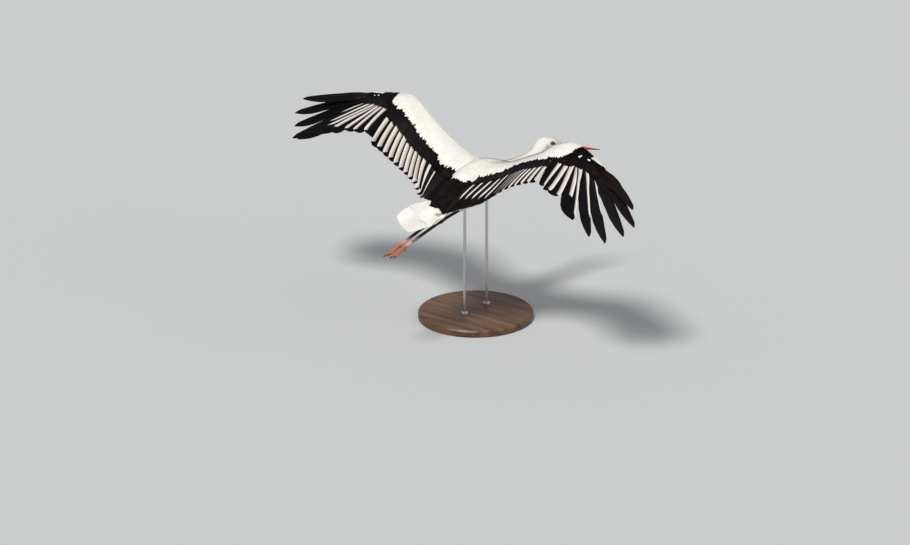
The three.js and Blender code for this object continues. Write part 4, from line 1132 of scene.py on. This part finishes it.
def flight_feather(piece, plane, line, lead, trail, start, strip, rise=0.0, silver=0.0,
                   silver_end=0.97, fade=0.1, tilt=1.3, thick=1.3, rounding=0.9, tip=None,
                   slim=(1.0, 1.0), colour=BLACK, shift=0.0):
    """One stiff feather along a line of the spread plan; plane(a, b, height) gives points.

    lead and trail are the half widths of its webs and slim the share of each that is left
    past its notch. start is where on the line it begins, rise how far its tip is lifted and
    strip its place in the unwrap. The silver ends at silver_end over a length of fade. A
    finger has a tip, the lengths over which its outer and inner edge round off."""
    tau, sigma = FLIGHT.tau, FLIGHT.sigma
    t = mix(start, 1.0, tau)
    ahead = unit(on_line(line, np.minimum(t + 0.01, 1.01)) - on_line(line, t - 0.01))
    side = np.stack([-ahead[:, 1], ahead[:, 0]], -1)     # towards the leading edge
    narrow = ease(share(t, 0.3, 0.48))
    if tip:
        to_tip = (1 - t) * np.linalg.norm(line[1] - line[0])
        outer = np.sqrt(np.clip(to_tip / tip[0], 0.01, 1))
        inner = np.maximum(1 - (1 - np.clip(to_tip / tip[1], 0, 1)) ** 2.2, 0.03)
    else:
        outer = inner = np.sqrt(np.clip(1 - share(t, rounding, 1.0) ** 2.4, 0.01, 1))
    outline = np.where(sigma < 0, outer, inner) * mix(0.72, 1.0, ease(share(tau, 0, 0.16)))
    half = np.where(sigma < 0, mix(lead, lead * slim[0], narrow),
                    mix(trail, trail * slim[1], narrow))
    notch = 1 + 0.012 * rng.normal(size=len(tau)) * (np.abs(sigma) > 0.9) * (tau > 0.2)
    plan = on_line(line, t) + side * (-sigma * half * outline * notch + shift * inner)[:, None]
    shaft = np.clip(1 - np.abs(sigma) / 0.09, 0, 1) * mix(1.5, 0.35, tau)
    face = np.where(FLIGHT.under > 0, -1, 1)
    flat = thick * 0.5 * mix(1, 0.5, tau) * (1 - sigma ** 2)
    height = (rise * np.maximum(t, 0) ** 1.5 - tilt * sigma * outline
              - VANE_CAMBER * (sigma * half) ** 2 * outline + face * (flat + shaft))
    points = plane(plan[:, 0], plan[:, 1], height)
    colours = np.broadcast_to(colour * (1 + 0.03 * rng.normal()), (len(tau), 3))
    marks = (silver * ease(share(t, 0.15, 0.2))
             * (1 - ease(share(t, silver_end - fade, silver_end))))
    corner = FLIGHT.faces.ravel()
    under = np.repeat(FLIGHT.face_under, 4)
    bake = np.stack([(strip * 2 + under + 0.5) / STRIPS + sigma[corner] * 0.42 / STRIPS,
                     mix(0.01, 0.99, tau[corner])], -1)
    vane = np.stack([sigma[corner] / 2 + 0.5 + 2 * under, tau[corner]], -1)
    add_to_coat(piece, FLIGHT, points[None], colours[None], bake[None], vane[None], marks[None])


def build_flight(pose):
    plane = partial(wing_point, pose)
    for number, (reach, _, lift, _) in enumerate(PRIMARIES):
        finger = number < FINGERS
        lead, trail, *slim = PRIMARY_WEBS[pose.name][number]
        tips = LAST_FINGER_TIP if number == FINGERS - 1 else FINGER_TIP
        # the colour of the right wing's outer primaries is mixed with painted brown highlights
        flight_feather(f"primaries_{pose.name}", plane, feather_line(pose, number), lead, trail,
                       0.03, number, reach * math.sin(math.radians(lift)),
                       *SILVER_PRIMARIES[pose.name][number], fade=0.1 if finger else 0.03,
                       tip=tips[pose.name] if finger else None, slim=slim,
                       shift=0.0 if finger else 2.0,
                       colour=mix(BLACK, BROWN_BLACK, BROWN_HIGHLIGHT_PAINTED[pose.name][number]))
    for inner in range(INNER_COUNT):
        along = inner / (INNER_COUNT - 1)
        line, behind = (feather_line(pose, INNER + inner + more) for more in (0, 1))
        gap = np.linalg.norm(on_line(line, 0.8) - on_line(behind, 0.8))
        late = share(inner, SECONDARIES - 1, INNER_COUNT - 1)
        tint = mix(BLACK, BROWN_BLACK, rng.random() * late)
        end = table(SILVER_ENDS[pose.name], along)
        kind = "secondaries" if inner < SECONDARIES else "tertials"
        # on the right wing's tertials the silver stands for painted glints of light
        flight_feather(f"{kind}_{pose.name}", plane, line, max(gap * 0.68, 21), gap * 1.3,
                       0.05, inner, INNER_RISE + late * TERTIAL_RISE,
                       table(SILVER_AND_GLINT_WIDTH[pose.name], along), end,
                       mix(0.03, 0.12, share(0.97, end, end + 0.2)), tilt=1.6, colour=tint)
    # the right wing's last tertial carries a painted glint of light as silver
    silver, tone = LAST_TERTIAL[pose.name]
    flight_feather(f"tertials_{pose.name}", plane, behind, 24, 34, 0.06, INNER_COUNT,
                   INNER_RISE + TERTIAL_RISE * 1.1, silver, 0.74, tilt=1.6, rounding=0.8,
                   colour=BROWN_BLACK * tone)


# ---------------------------------------------------------------- tail

TAIL_WAY = TAIL_TIP - TAIL_ROOT
TAIL_LENGTH = np.linalg.norm(TAIL_WAY)
RUMP = BODY_SECTIONS[-1][1] - 3      # y where the trunk ends inside the tail
TAIL_WEB = 12.5         # half width of a feather
TAIL_COVERTS_END = (1, 92), (-1, 112)       # how far along the tail, above and below
TAIL_COVERT_LENGTH, TAIL_COVERT_WIDTH = 56, 24
TAIL_PATCH = 120        # size of the unwrapped coverts


def tail_point(t, across, height):
    t, across, height = np.broadcast_arrays(*(np.asarray(v, float) for v in (t, across, height)))
    roll = mix(*TAIL_ROLL, ease(t * 1.5))
    half = mix(TAIL_HALF_ROOT, TAIL_HALF_WIDE, ease(t * 1.25))
    x = across * half * np.sqrt(np.maximum(0, 1 - share(t, 0.5, 1.16) ** 2.2))
    zero = np.zeros_like(t)
    left = np.stack([np.cos(roll), zero, np.sin(roll)], -1)
    up = np.stack([-np.sin(roll), zero, np.cos(roll)], -1)
    return (TAIL_ROOT + TAIL_WAY * t[..., None] + left * x[..., None]
            + up * (height - TAIL_CROWN * x * x)[..., None])


def tail_covert_surface(sign):
    """The upper (1) or lower (-1) side of the tail, over the end of the trunk."""
    def surface(s, t, x, y, height):
        tail = tail_point((s + x) / TAIL_LENGTH, (t + y) / TAIL_HALF_WIDE, sign * (height + 2.0))
        at = np.minimum(tail[..., 1], RUMP)
        row = through(at_y(at))
        aside = np.clip((tail[..., 0] - row[..., 0]) / row[..., 3], -1, 1)
        tall = row[..., 4] if sign > 0 else -row[..., 5]
        end = row[..., 2] + tall * np.sqrt(1 - aside ** 2) + sign * (1.2 + height)
        out = np.maximum(0, sign * (end - tail[..., 2]))
        out = out * (1 - ease((tail[..., 1] - at) / 50)) * ease((1 - np.abs(aside)) / 0.3)
        tail[..., 2] += sign * out
        return tail
    return surface


def build_tail():
    for feather in range(TAIL_FEATHERS):
        mid = (feather + 0.5) / TAIL_FEATHERS * 2 - 1
        stack = 2.4 * (1 - abs(mid)) - 1.2
        inward = -1 if mid > 0 else 1

        def plane(a, b, height):
            return tail_point(-b / TAIL_LENGTH, mid + a / TAIL_HALF_WIDE,
                              height + stack + 0.035 * a * inward)

        end = -TAIL_LENGTH * (1 - TAIL_CORNER * mid * mid)
        flight_feather("tail_feathers", plane, (np.zeros(2), np.array([0.0, end]), 0.0),
                       TAIL_WEB, TAIL_WEB, 0.0, feather, tilt=0.0, thick=1.2, colour=WHITE)
    for sign, last in TAIL_COVERTS_END:
        for index, s in enumerate(np.arange(4, last, 10)):
            t = np.arange(-42 + (index % 2) * 6, 43, 12.0)
            t = t + rng.normal(0, 1.5, len(t))
            place = np.full(len(t), float(s)) - 0.006 * t * t
            feathers("coat_trunk", tail_covert_surface(sign), place, t,
                     TAIL_COVERT_LENGTH * rng.uniform(0.9, 1.1, len(t)), TAIL_COVERT_WIDTH,
                     WHITE, LARGE, heading=t * 0.002, lift=(0, 0.7), cup=0.02, thick=0.6,
                     rounding=0.45, power=1.8,
                     region=("tail_top", (t + TAIL_PATCH / 2) / TAIL_PATCH, place / TAIL_PATCH))


# ---------------------------------------------------------------- bill and eyes

NOSTRIL_Y = -68
EYE_OPENING = (5.6, 4.7)      # half sizes of the opening between the lids
PUPIL_EDGE, IRIS_EDGE = 0.86, 0.66      # how far ahead on the eyeball, in radii
PUPIL_DARK, RIM_DARK = 0.002, 0.004
LOOK = unit(np.array([1.0, -0.22, 0.05]))


def bite(y):
    return BILL_BITE_Z + BILL_RISE * (BILL_BASE_Y - y)


def build_bill(upper):
    sign = 1 if upper else -1
    depth = BILL_BASE_UPPER if upper else BILL_BASE_LOWER
    start, tip = BILL_BASE_Y + BILL_ROOT, BILL_BASE_Y - BILL_LENGTH

    def place(t, angle, out):
        taper = np.maximum(0.05, 1 - 0.42 * t - 1.02 * ease(t / 2))
        half = BILL_BASE_HALF_WIDTH * taper * mix(1.16, 0.94, ease((t - 0.06) / 0.22))
        cos, sin = np.cos(angle), np.sin(angle)
        tall = np.where(cos > 0, np.abs(cos) ** 0.9, 0.0)
        along = mix(start, tip, t)
        x = half * np.sign(sin) * np.abs(sin) ** 0.85 * (1 - 0.18 * tall)
        z = depth * taper * tall
        slit = np.exp(-((along - NOSTRIL_Y) / 8.5) ** 2 - ((z - 0.46 * depth * taper) / 1.1) ** 2)
        x = x * (1 - 0.16 * slit * upper)
        z = bite(along) + sign * (0.25 + z * out + (1 - out) * 0.35 * depth * taper)
        return from_head(np.stack([x * out, along, z], -1))

    points, tris = tube(place, 36, 130)
    local = head_local(points)
    t = ((local[:, 1] - start) / (tip - start))[:, None]
    # painted shade: the bill is darker at its base, where it meets the head
    colour = mix(BILL_PAINTED_SHADE * 1.6, BILL_RED, ease((t - 0.05) * 6))
    colour = mix(colour, BILL_RED * 0.55, ease((t - 0.75) * 3.5))
    colour = colour * (1 + 0.10 * grid_noise(local * [1, 0.12, 1], 6.0, 5)[:, None])
    above = local[:, 2] - bite(local[:, 1])
    # painted shade: each mandible is darker along the bite, where the two meet
    colour = mix(colour, colour * 0.45, np.exp(-(above / 0.8) ** 2)[:, None])
    if upper:
        ahead = local[:, 1] - NOSTRIL_Y
        slit = np.exp(-(ahead / 8.0) ** 4
                      - ((above - 0.40 * depth * 0.82 + 0.02 * ahead) / 0.9) ** 2)
        # painted shade in the nostril slit
        colour = mix(colour, BILL_PAINTED_SHADE * 0.3, (slit * (np.abs(local[:, 0]) > 2))[:, None])
    return make_mesh("bill_upper_horn" if upper else "bill_lower_horn", points, tris,
                     colours=np.clip(colour, 0, 1), sharp=60)


def build_eye(name, sign):
    def place(t, angle, out):
        polar = np.pi * np.clip(t, 0.004, 0.996)
        ring = np.stack([np.cos(polar), np.sin(polar) * np.cos(angle),
                         np.sin(polar) * np.sin(angle)], -1)
        return ring * EYE_RADIUS * out[:, None]

    points, tris = tube(place, 32, 26)
    aside = np.cross([0, 0, 1.0], LOOK)
    points = points @ np.stack([LOOK, unit(aside), np.cross(LOOK, unit(aside))], 0)
    front = (points @ LOOK / EYE_RADIUS)[:, None]
    colour = mix(IRIS, PUPIL_DARK, ease((front - PUPIL_EDGE) * 25))
    colour = mix(colour, RIM_DARK, ease((IRIS_EDGE - front) * 12))
    points = points * [sign, 1, 1] + EYE * [sign, 1, 1]
    return make_mesh(f"eyeball_{name}", from_head(points), tris[:, ::sign], colours=colour)


def build_lids(sign, skin_x):
    """Bare black skin around the eye: rings from the eyeball out to the feathers."""
    around = 64
    angle = np.linspace(0, 2 * np.pi, around, endpoint=False)
    cos, sin = np.cos(angle), np.sin(angle)
    wide = np.where(cos < 0, BARE_EYE[0], BARE_EYE[1]) * 1.04
    tall = BARE_EYE[2] * 1.06 * (1 - 0.35 * np.clip(-cos, 0, 1))
    rings = []
    for size in (0.0, 0.06, 0.14, 0.24, 0.42, 0.64, 0.85, 1.05, 1.3):
        y = EYE[1] + mix(EYE_OPENING[0], wide, size) * cos
        z = EYE[2] + mix(EYE_OPENING[1], tall, size) * sin
        skin = skin_x(y, z, sign)
        inside = (EYE_RADIUS + 0.1) ** 2 - (y - EYE[1]) ** 2 - (z - EYE[2]) ** 2
        ball = EYE[0] + np.sqrt(np.maximum(0, inside))
        lid = 0.15 + 0.95 * np.sin(np.pi * min(1, size / 0.28) * 0.62)      # its rolled edge
        outer = ease(share(size, 1.0, 1.3))
        x = mix(np.maximum(ball, skin) + lid, skin + 1.0 * (1 - outer) - 0.5 * outer,
                ease(share(size, 0.2, 0.8)))
        x = np.where(inside > 0, np.maximum(x, ball + 0.4), x) if size else ball - 0.6
        rings.append(np.stack([sign * x, y, z], -1))
    folds = np.array(rings)
    folds[4:7, :, 0] += sign * 0.14 * np.cos(angle * 11)[None] * np.array([1, 1, 0.6])[:, None]
    inner = folds - [sign * 1.2, 0, 0]
    sheet = np.vstack([folds.reshape(-1, 3), inner[::-1].reshape(-1, 3)])
    last = grid_faces(2, around, closed=True)
    wrap = np.where(last >= around, last - around, last + (2 * len(rings) - 1) * around)
    faces = np.vstack([grid_faces(2 * len(rings), around, closed=True), wrap])
    return from_head(sheet), faces[:, ::sign]


# ---------------------------------------------------------------- materials


class Shader:
    """A material's nodes, made one call at a time."""

    def __init__(self, name, **constants):
        self.material = bpy.data.materials.new(name)
        self.material.use_nodes = True
        self.nodes = self.material.node_tree.nodes
        self.links = self.material.node_tree.links
        self.surface = self.nodes["Principled BSDF"]
        for socket, value in constants.items():
            self.surface.inputs[socket.replace("_", " ")].default_value = value

    def feed(self, socket, value):
        if isinstance(value, bpy.types.NodeSocket):
            self.links.new(value, socket)
        else:
            socket.default_value = value

    def node(self, kind, inputs=(), **settings):
        """A node fed with (socket, value) pairs."""
        made = self.nodes.new(kind)
        for key, value in settings.items():
            setattr(made, key, value)
        for socket, value in inputs:
            self.feed(made.inputs[socket], value)
        return made

    def math(self, operation, *values, clamp=False):
        return self.node("ShaderNodeMath", enumerate((*values, 0.0, 0.0)[:3]),
                         operation=operation, use_clamp=clamp).outputs[0]

    def fit(self, value, gain, offset):
        return self.math("MULTIPLY_ADD", value, gain, offset)

    def times(self, first, *others):
        for value in others:
            first = self.math("MULTIPLY", first, value)
        return first

    def rest(self, value):
        return self.math("SUBTRACT", 1.0, value)

    def smooth(self, value, low, high):
        return self.node("ShaderNodeMapRange", enumerate((value, low, high)),
                         interpolation_type="SMOOTHSTEP").outputs[0]

    def blend(self, factor, a, b, kind="MIX"):
        return self.node("ShaderNodeMix", ((0, factor), (6, a), (7, b)), data_type="RGBA",
                         blend_type=kind).outputs[2]

    def noise(self, vector, scale, detail=3.0, roughness=0.55):
        return self.node("ShaderNodeTexNoise", (("Vector", vector), ("Scale", scale),
                                                ("Detail", detail),
                                                ("Roughness", roughness))).outputs["Fac"]

    def scaled(self, vector, *scales):
        return self.node("ShaderNodeVectorMath", ((0, vector), (1, scales)),
                         operation="MULTIPLY").outputs[0]

    def streaks(self, vector, scales, detail, roughness=0.55):
        """Noise drawn out along the axes whose scale is small."""
        return self.noise(self.scaled(vector, *scales), 1.0, detail, roughness)

    def colour(self):
        return self.node("ShaderNodeVertexColor", layer_name="Colour").outputs[0]

    def shaded(self, shade):
        """The mesh's colours, lighter or darker by a value."""
        grey = self.node("ShaderNodeCombineColor", [(index, shade) for index in range(3)])
        return self.blend(1.0, self.colour(), grey.outputs[0], "MULTIPLY")

    def place(self):
        return self.node("ShaderNodeTexCoord").outputs["Object"]

    def vane(self, lines):
        """A vane's unwrap, its u and v, the distance from the shaft and the barbs' fine lines."""
        uv = self.node("ShaderNodeUVMap", uv_map="Vane").outputs[0]
        u, v, _ = self.node("ShaderNodeSeparateXYZ", [(0, uv)]).outputs
        off = self.math("ABSOLUTE", self.math("SUBTRACT", u, 0.5))
        wave = self.math("SINE", self.times(self.fit(off, 0.55, v), lines))
        return uv, u, v, off, self.fit(wave, 0.5, 0.5)

    def finished(self, colour, height=None, strength=0.0, distance=0.0):
        """The material, with a base colour and bumps."""
        self.feed(self.surface.inputs["Base Color"], colour)
        if height:
            bump = self.node("ShaderNodeBump", (("Strength", strength), ("Distance", distance),
                                                ("Height", height)))
            self.links.new(bump.outputs[0], self.surface.inputs["Normal"])
        return self.material


def feather_material(name, dark):
    shader = Shader(name, Roughness=0.5 if dark else 0.85, Sheen_Weight=0.0 if dark else 0.1,
                    Sheen_Roughness=0.5, Specular_IOR_Level=0.03 if dark else 0.12)
    uv, _, v, off, lines = shader.vane(190.0)
    # the last factor is painted shade: each feather is darker towards its root, where the feathers
    # over it lie
    shade = shader.times(shader.fit(lines, -0.3 if dark else -0.03, 1.0),
                         shader.fit(shader.noise(shader.place(), 26.0), 0.22, 0.89),
                         shader.fit(shader.streaks(uv, (9.0, 26.0, 1.0), 4.0), 0.2, 0.9),
                         shader.fit(shader.smooth(v, 0.0, 0.75), 0.13, 0.87))
    edge = shader.smooth(off, 0.34, 0.5)
    colour = shader.shaded(shader.fit(edge, 0.5 if dark else -0.05, shade))
    if dark:
        # painted sheen: towards grazing angles the dark feathers are blended to a bluish tint
        facing = shader.node("ShaderNodeLayerWeight", [("Blend", 0.35)]).outputs["Facing"]
        colour = shader.blend(shader.times(facing, 0.4), colour, PAINTED_SHEEN)
    return shader.finished(colour, lines, 0.12, 0.0002)


def flight_material():
    """Black vanes; Marks sets how much of the outer web is silvery, on the upper side."""
    shader = Shader("flight_vanes", Roughness=0.5, Specular_IOR_Level=0.03)
    uv, u, v, off, lines = shader.vane(620.0)
    above = shader.math("LESS_THAN", u, 1.5)
    marks = shader.node("ShaderNodeAttribute", attribute_name="Marks").outputs["Fac"]
    near_tip = shader.times(shader.smooth(v, 0.84, 0.96), shader.smooth(marks, 0.6, 1))
    high = shader.fit(near_tip, 0.07, shader.fit(marks, 0.40, 0.03))
    streaks = shader.streaks(uv, (3.0, 30.0, 1.0), 2.0)
    wobble = shader.fit(streaks, 0.03, shader.math("SUBTRACT", u, 0.015))
    outside = shader.smooth(wobble, high, shader.math("ADD", high, 0.03))
    mask = shader.times(shader.smooth(u, 0.015, 0.04), shader.rest(outside),
                        shader.smooth(marks, 0.0, 0.2), above)
    mask = shader.math("MULTIPLY", mask, shader.fit(streaks, 0.35, 0.72), clamp=True)
    black = shader.shaded(shader.fit(shader.streaks(uv, (5.0, 40.0, 1.0), 4.0), 1.1, 0.55))
    pale = shader.blend(shader.smooth(u, 0.12, 0.46), (*SILVER, 1), (*SILVER_SHADED, 1))
    shaft = shader.times(shader.rest(shader.smooth(off, 0.012, 0.03)), shader.rest(v), 0.5)
    colour = shader.blend(shaft, shader.blend(mask, black, pale), SHAFT)
    return shader.finished(colour, lines, 0.15, 0.0002)


def horn_material():
    shader = Shader("bill_horn", Roughness=0.34, Specular_IOR_Level=0.5)
    streaks = shader.noise(shader.place(), 180.0, 4.0)
    return shader.finished(shader.shaded(shader.fit(streaks, 0.5, 0.75)), streaks, 0.15, 0.0006)


def eye_material():
    shader = Shader("eye_wet", Roughness=0.05, Coat_Weight=1.0, Coat_Roughness=0.02,
                    Specular_IOR_Level=0.6)
    return shader.finished(shader.colour())


def claw_material():
    shader = Shader("claw_horn", Roughness=0.45)
    return shader.finished(shader.blend(shader.noise(shader.place(), 300.0), *CLAW_TONES))


def skin_material(name, scales=False):
    shader = Shader(name, Roughness=0.6, Specular_IOR_Level=0.35)
    place = shader.place()
    shade = shader.fit(shader.noise(place, 90.0), 0.5, 0.75)
    if not scales:
        return shader.finished(shader.shaded(shade), shader.noise(place, 700.0, 2.0), 0.3, 0.0005)
    cells = shader.node("ShaderNodeTexVoronoi", (("Vector", shader.scaled(place, 1.0, 0.62, 1.0)),
                                                 ("Scale", 330.0)), feature="DISTANCE_TO_EDGE")
    gap = shader.smooth(cells.outputs["Distance"], 0.0, 0.16)
    shade = shader.times(shade, shader.fit(gap, 0.45, 0.6))
    return shader.finished(shader.shaded(shade), gap, 0.7, 0.0007)


def wood_material():
    shader = Shader("oiled_walnut", Roughness=0.42, Specular_IOR_Level=0.4)
    place = shader.place()
    rings = shader.streaks(place, (3.0, 42.0, 42.0), 6.0, 0.62)
    pores = shader.streaks(place, (30.0, 700.0, 700.0), 2.0)
    colour = shader.blend(shader.smooth(rings, 0.3, 0.72), *WALNUT_TONES)
    pore = shader.times(shader.smooth(pores, 0.56, 0.68), 0.45)
    return shader.finished(shader.blend(pore, colour, WALNUT_PORE), pores, 0.12, 0.0004)


def steel_material():
    shader = Shader("brushed_steel", Metallic=1.0, Roughness=0.32)
    lines = shader.streaks(shader.place(), (60.0, 60.0, 2400.0), 2.0)
    return shader.finished(shader.blend(lines, *STEEL_TONES), lines, 0.1, 0.0002)


def floor_material():
    return Shader("pale_floor", Roughness=0.9, Specular_IOR_Level=0.1).finished(FLOOR_GREY)


# ---------------------------------------------------------------- building the bird


def leg_colours(points):
    y = points[:, 1]
    blotch = grid_noise(points * [1, 0.4, 1], 26.0, 9) * 14
    # painted shadow: near black from the knee to LEG_TURNS_PALE, as in the tail's shadow, then
    # chalky pale pink, and red at the toes
    colour = mix(LEG_PAINTED_SHADOW, LEG_PALE, ease(share(y + blotch, *LEG_TURNS_PALE))[:, None])
    colour = mix(colour, TOE_RED, ease(share(y + blotch * 0.5, *LEG_TURNS_RED))[:, None])
    return colour * (1 + 0.12 * grid_noise(points, 7.0, 3))[:, None]


def root_colours(points):
    """The colours of the feathers that root nearest to places of the skin."""
    roots, tints = (np.vstack(column) for column in zip(*ROOT_COLOURS))
    tree = kdtree.KDTree(len(roots))
    for index, root in enumerate(roots):
        tree.insert(root, index)
    tree.balance()
    return tints[[tree.find(p)[1] for p in points]]


def build_skin(body, legs):
    points, tris = joined([body, *legs])
    colours = [root_colours(body[0]) * 0.85] + [leg_colours(leg[0]) for leg in legs]
    made = make_mesh("skin", points, tris, colours=np.clip(np.vstack(colours), 0, 1))
    made.data.materials.append(skin_material("feathered_skin"))
    made.data.materials.append(skin_material("leg_skin", scales=True))
    of_legs = (np.arange(len(tris)) >= len(body[1])).astype(np.int32)
    made.data.polygons.foreach_set("material_index", of_legs)
    return made


def skin_side(points, tris):
    """x of the skin beside a place of the head, in the head's own axes."""
    near = np.linalg.norm(points - HEAD_CENTRE, axis=1) < HEAD_REACH
    tree = BVHTree.FromPolygons([Vector(p) for p in head_local(points)],
                                tris[near[tris].all(1)].tolist())

    def at(y, z, sign):
        hits = [tree.ray_cast(Vector((sign * 80, *place)), Vector((-sign, 0, 0)))[0]
                for place in zip(y, z)]
        return np.array([abs(hit.x) if hit else 8.0 for hit in hits])
    return at


def show(made, material, slot, *nodes):
    """Gives a piece its material, hangs it on the root and hides the nodes that it stands for;
    slot is not used.
    """
    if material:
        made.data.materials.append(material)
    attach(made, "root")
    if nodes:
        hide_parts(*nodes)


cover_body()
cover_scapulars()
cover_thighs()
build_tail()
for wing in WINGS:
    for cover in (small_coverts_above, greater_coverts_above, primary_coverts_above,
                  thumb_feathers, small_coverts_below, greater_coverts_below, build_flight):
        cover(wing)

body_skin = merged_by_voxels("flesh", white_skin_parts(), SKIN_VOXEL, 8)
leg_skins = [merged_by_voxels("leg", foot_parts(sign)[0], LEG_VOXEL, 2) for sign in SIDES]
flesh = ["head", "neck_upper", "neck_lower", "trunk"]
for wing in WINGS:
    flesh += [f"wing_{wing.name}_{part}" for part in ("upper_arm", "forearm", "hand")]
    flesh += [f"leg_{wing.name}_{part}" for part in ("thigh", "shank", "tarsus", "foot")]
show(build_skin(body_skin, leg_skins), None, "leg_skin", *flesh)

white = feather_material("white_plumage", False)
dark = feather_material("black_plumage", True)
vanes = flight_material()
for name in ("coat_head", "coat_neck", "coat_trunk"):
    show(coat_piece(name), white, "plumage_white")
show(coat_piece("coat_scapulars"), dark, "plumage_black", "scapulars_left", "scapulars_right")
show(coat_piece("tail_feathers"), white, "plumage_white", "tail")
for wing in WINGS:
    name = wing.name
    show(coat_piece(f"coat_white_{name}"), white, "plumage_white")
    show(coat_piece(f"coat_under_{name}"), white, "plumage_white")
    show(coat_piece(f"coat_dark_{name}"), dark, "plumage_black")
    show(coat_piece(f"alula_{name}"), dark, "plumage_black", f"wing_{name}_alula")
    show(coat_piece(f"primaries_{name}"), vanes, "plumage_black",
         *[f"wing_{name}_primary_{number + 1}" for number in range(INNER)])
    for kind in ("secondaries", "tertials"):
        show(coat_piece(f"{kind}_{name}"), vanes, "plumage_black", f"wing_{name}_{kind}")

horn = horn_material()
show(build_bill(True), horn, "bill", "bill_upper")
show(build_bill(False), horn, "bill", "bill_lower")
wet = eye_material()
side_x = skin_side(*body_skin)
for wing in WINGS:
    show(build_eye(wing.name, wing.side), wet, "eye", f"eye_{wing.name}")
lid_points, lid_faces = joined([build_lids(sign, side_x) for sign in SIDES])
lids = make_mesh("eyelids", lid_points, lid_faces, colours=np.full(lid_points.shape, 0.012))
show(lids, skin_material("bare_face"), "leg_skin")
show(build_claws(), claw_material(), "leg_skin")

# ---------------------------------------------------------------- stand, floor, light, camera

wood, steel = wood_material(), steel_material()
for name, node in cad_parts.items():
    if name.startswith("stand_"):
        node.data.materials.clear()
        node.data.materials.append(wood if name == "stand_base" else steel)

FLOOR_HALF = 300_000
floor_corners = np.array([[-1, -1, 0], [1, -1, 0], [1, 1, 0], [-1, 1, 0]]) * FLOOR_HALF
floor = make_mesh("floor", floor_corners - SHOULDER, [[0, 1, 2, 3]], smooth=False)
floor.data.materials.append(floor_material())

CAMERA_AZIMUTH = math.radians(218.5)
CAMERA_ELEVATION = math.radians(21)
CAMERA_DISTANCE = 80.0
SENSOR_WIDTH = 36
PICTURE_WIDTH, PICTURE_HEIGHT = 910, 545
PIXELS_PER_METRE = 251.8
SHOULDER_PIXEL = (484.35, 162.79)

scene = bpy.context.scene
back = Vector((math.sin(CAMERA_AZIMUTH) * math.cos(CAMERA_ELEVATION),
               -math.cos(CAMERA_AZIMUTH) * math.cos(CAMERA_ELEVATION),
               math.sin(CAMERA_ELEVATION)))
right = Vector((math.cos(CAMERA_AZIMUTH), math.sin(CAMERA_AZIMUTH), 0))
up = back.cross(right)
target = (Vector(SHOULDER / 1000)
          + right * (PICTURE_WIDTH / 2 - SHOULDER_PIXEL[0]) / PIXELS_PER_METRE
          - up * (PICTURE_HEIGHT / 2 - SHOULDER_PIXEL[1]) / PIXELS_PER_METRE)
camera = bpy.data.objects.new("camera", bpy.data.cameras.new("camera"))
camera.data.sensor_width = SENSOR_WIDTH
camera.data.lens = PIXELS_PER_METRE * CAMERA_DISTANCE * SENSOR_WIDTH / PICTURE_WIDTH
camera.data.clip_end = 2000
camera.matrix_world = Matrix.Translation(target + back * CAMERA_DISTANCE) @ Matrix(
    (right, up, back)).transposed().to_4x4()
scene.collection.objects.link(camera)
scene.camera = camera


def add_sun(name, direction, strength, softness):
    light = bpy.data.lights.new(name, "SUN")
    light.energy = strength
    light.angle = math.radians(softness)
    made = bpy.data.objects.new(name, light)
    made.rotation_mode = "QUATERNION"
    made.rotation_quaternion = Vector(direction).to_track_quat("Z", "Y")
    scene.collection.objects.link(made)


add_sun("key", back * 0.55 - right * 0.35 + Vector((0, 0, 0.9)), strength=2.7, softness=14)
add_sun("fill", back * 0.4 + right * 0.9 + Vector((0, 0, 0.5)), strength=0.5, softness=40)
scene.world = bpy.data.worlds.new("studio")
scene.world.use_nodes = True
sky = scene.world.node_tree.nodes["Background"].inputs
sky["Color"].default_value = (0.92, 0.95, 1.0, 1)
sky["Strength"].default_value = 0.4
scene.view_settings.view_transform = "Standard"
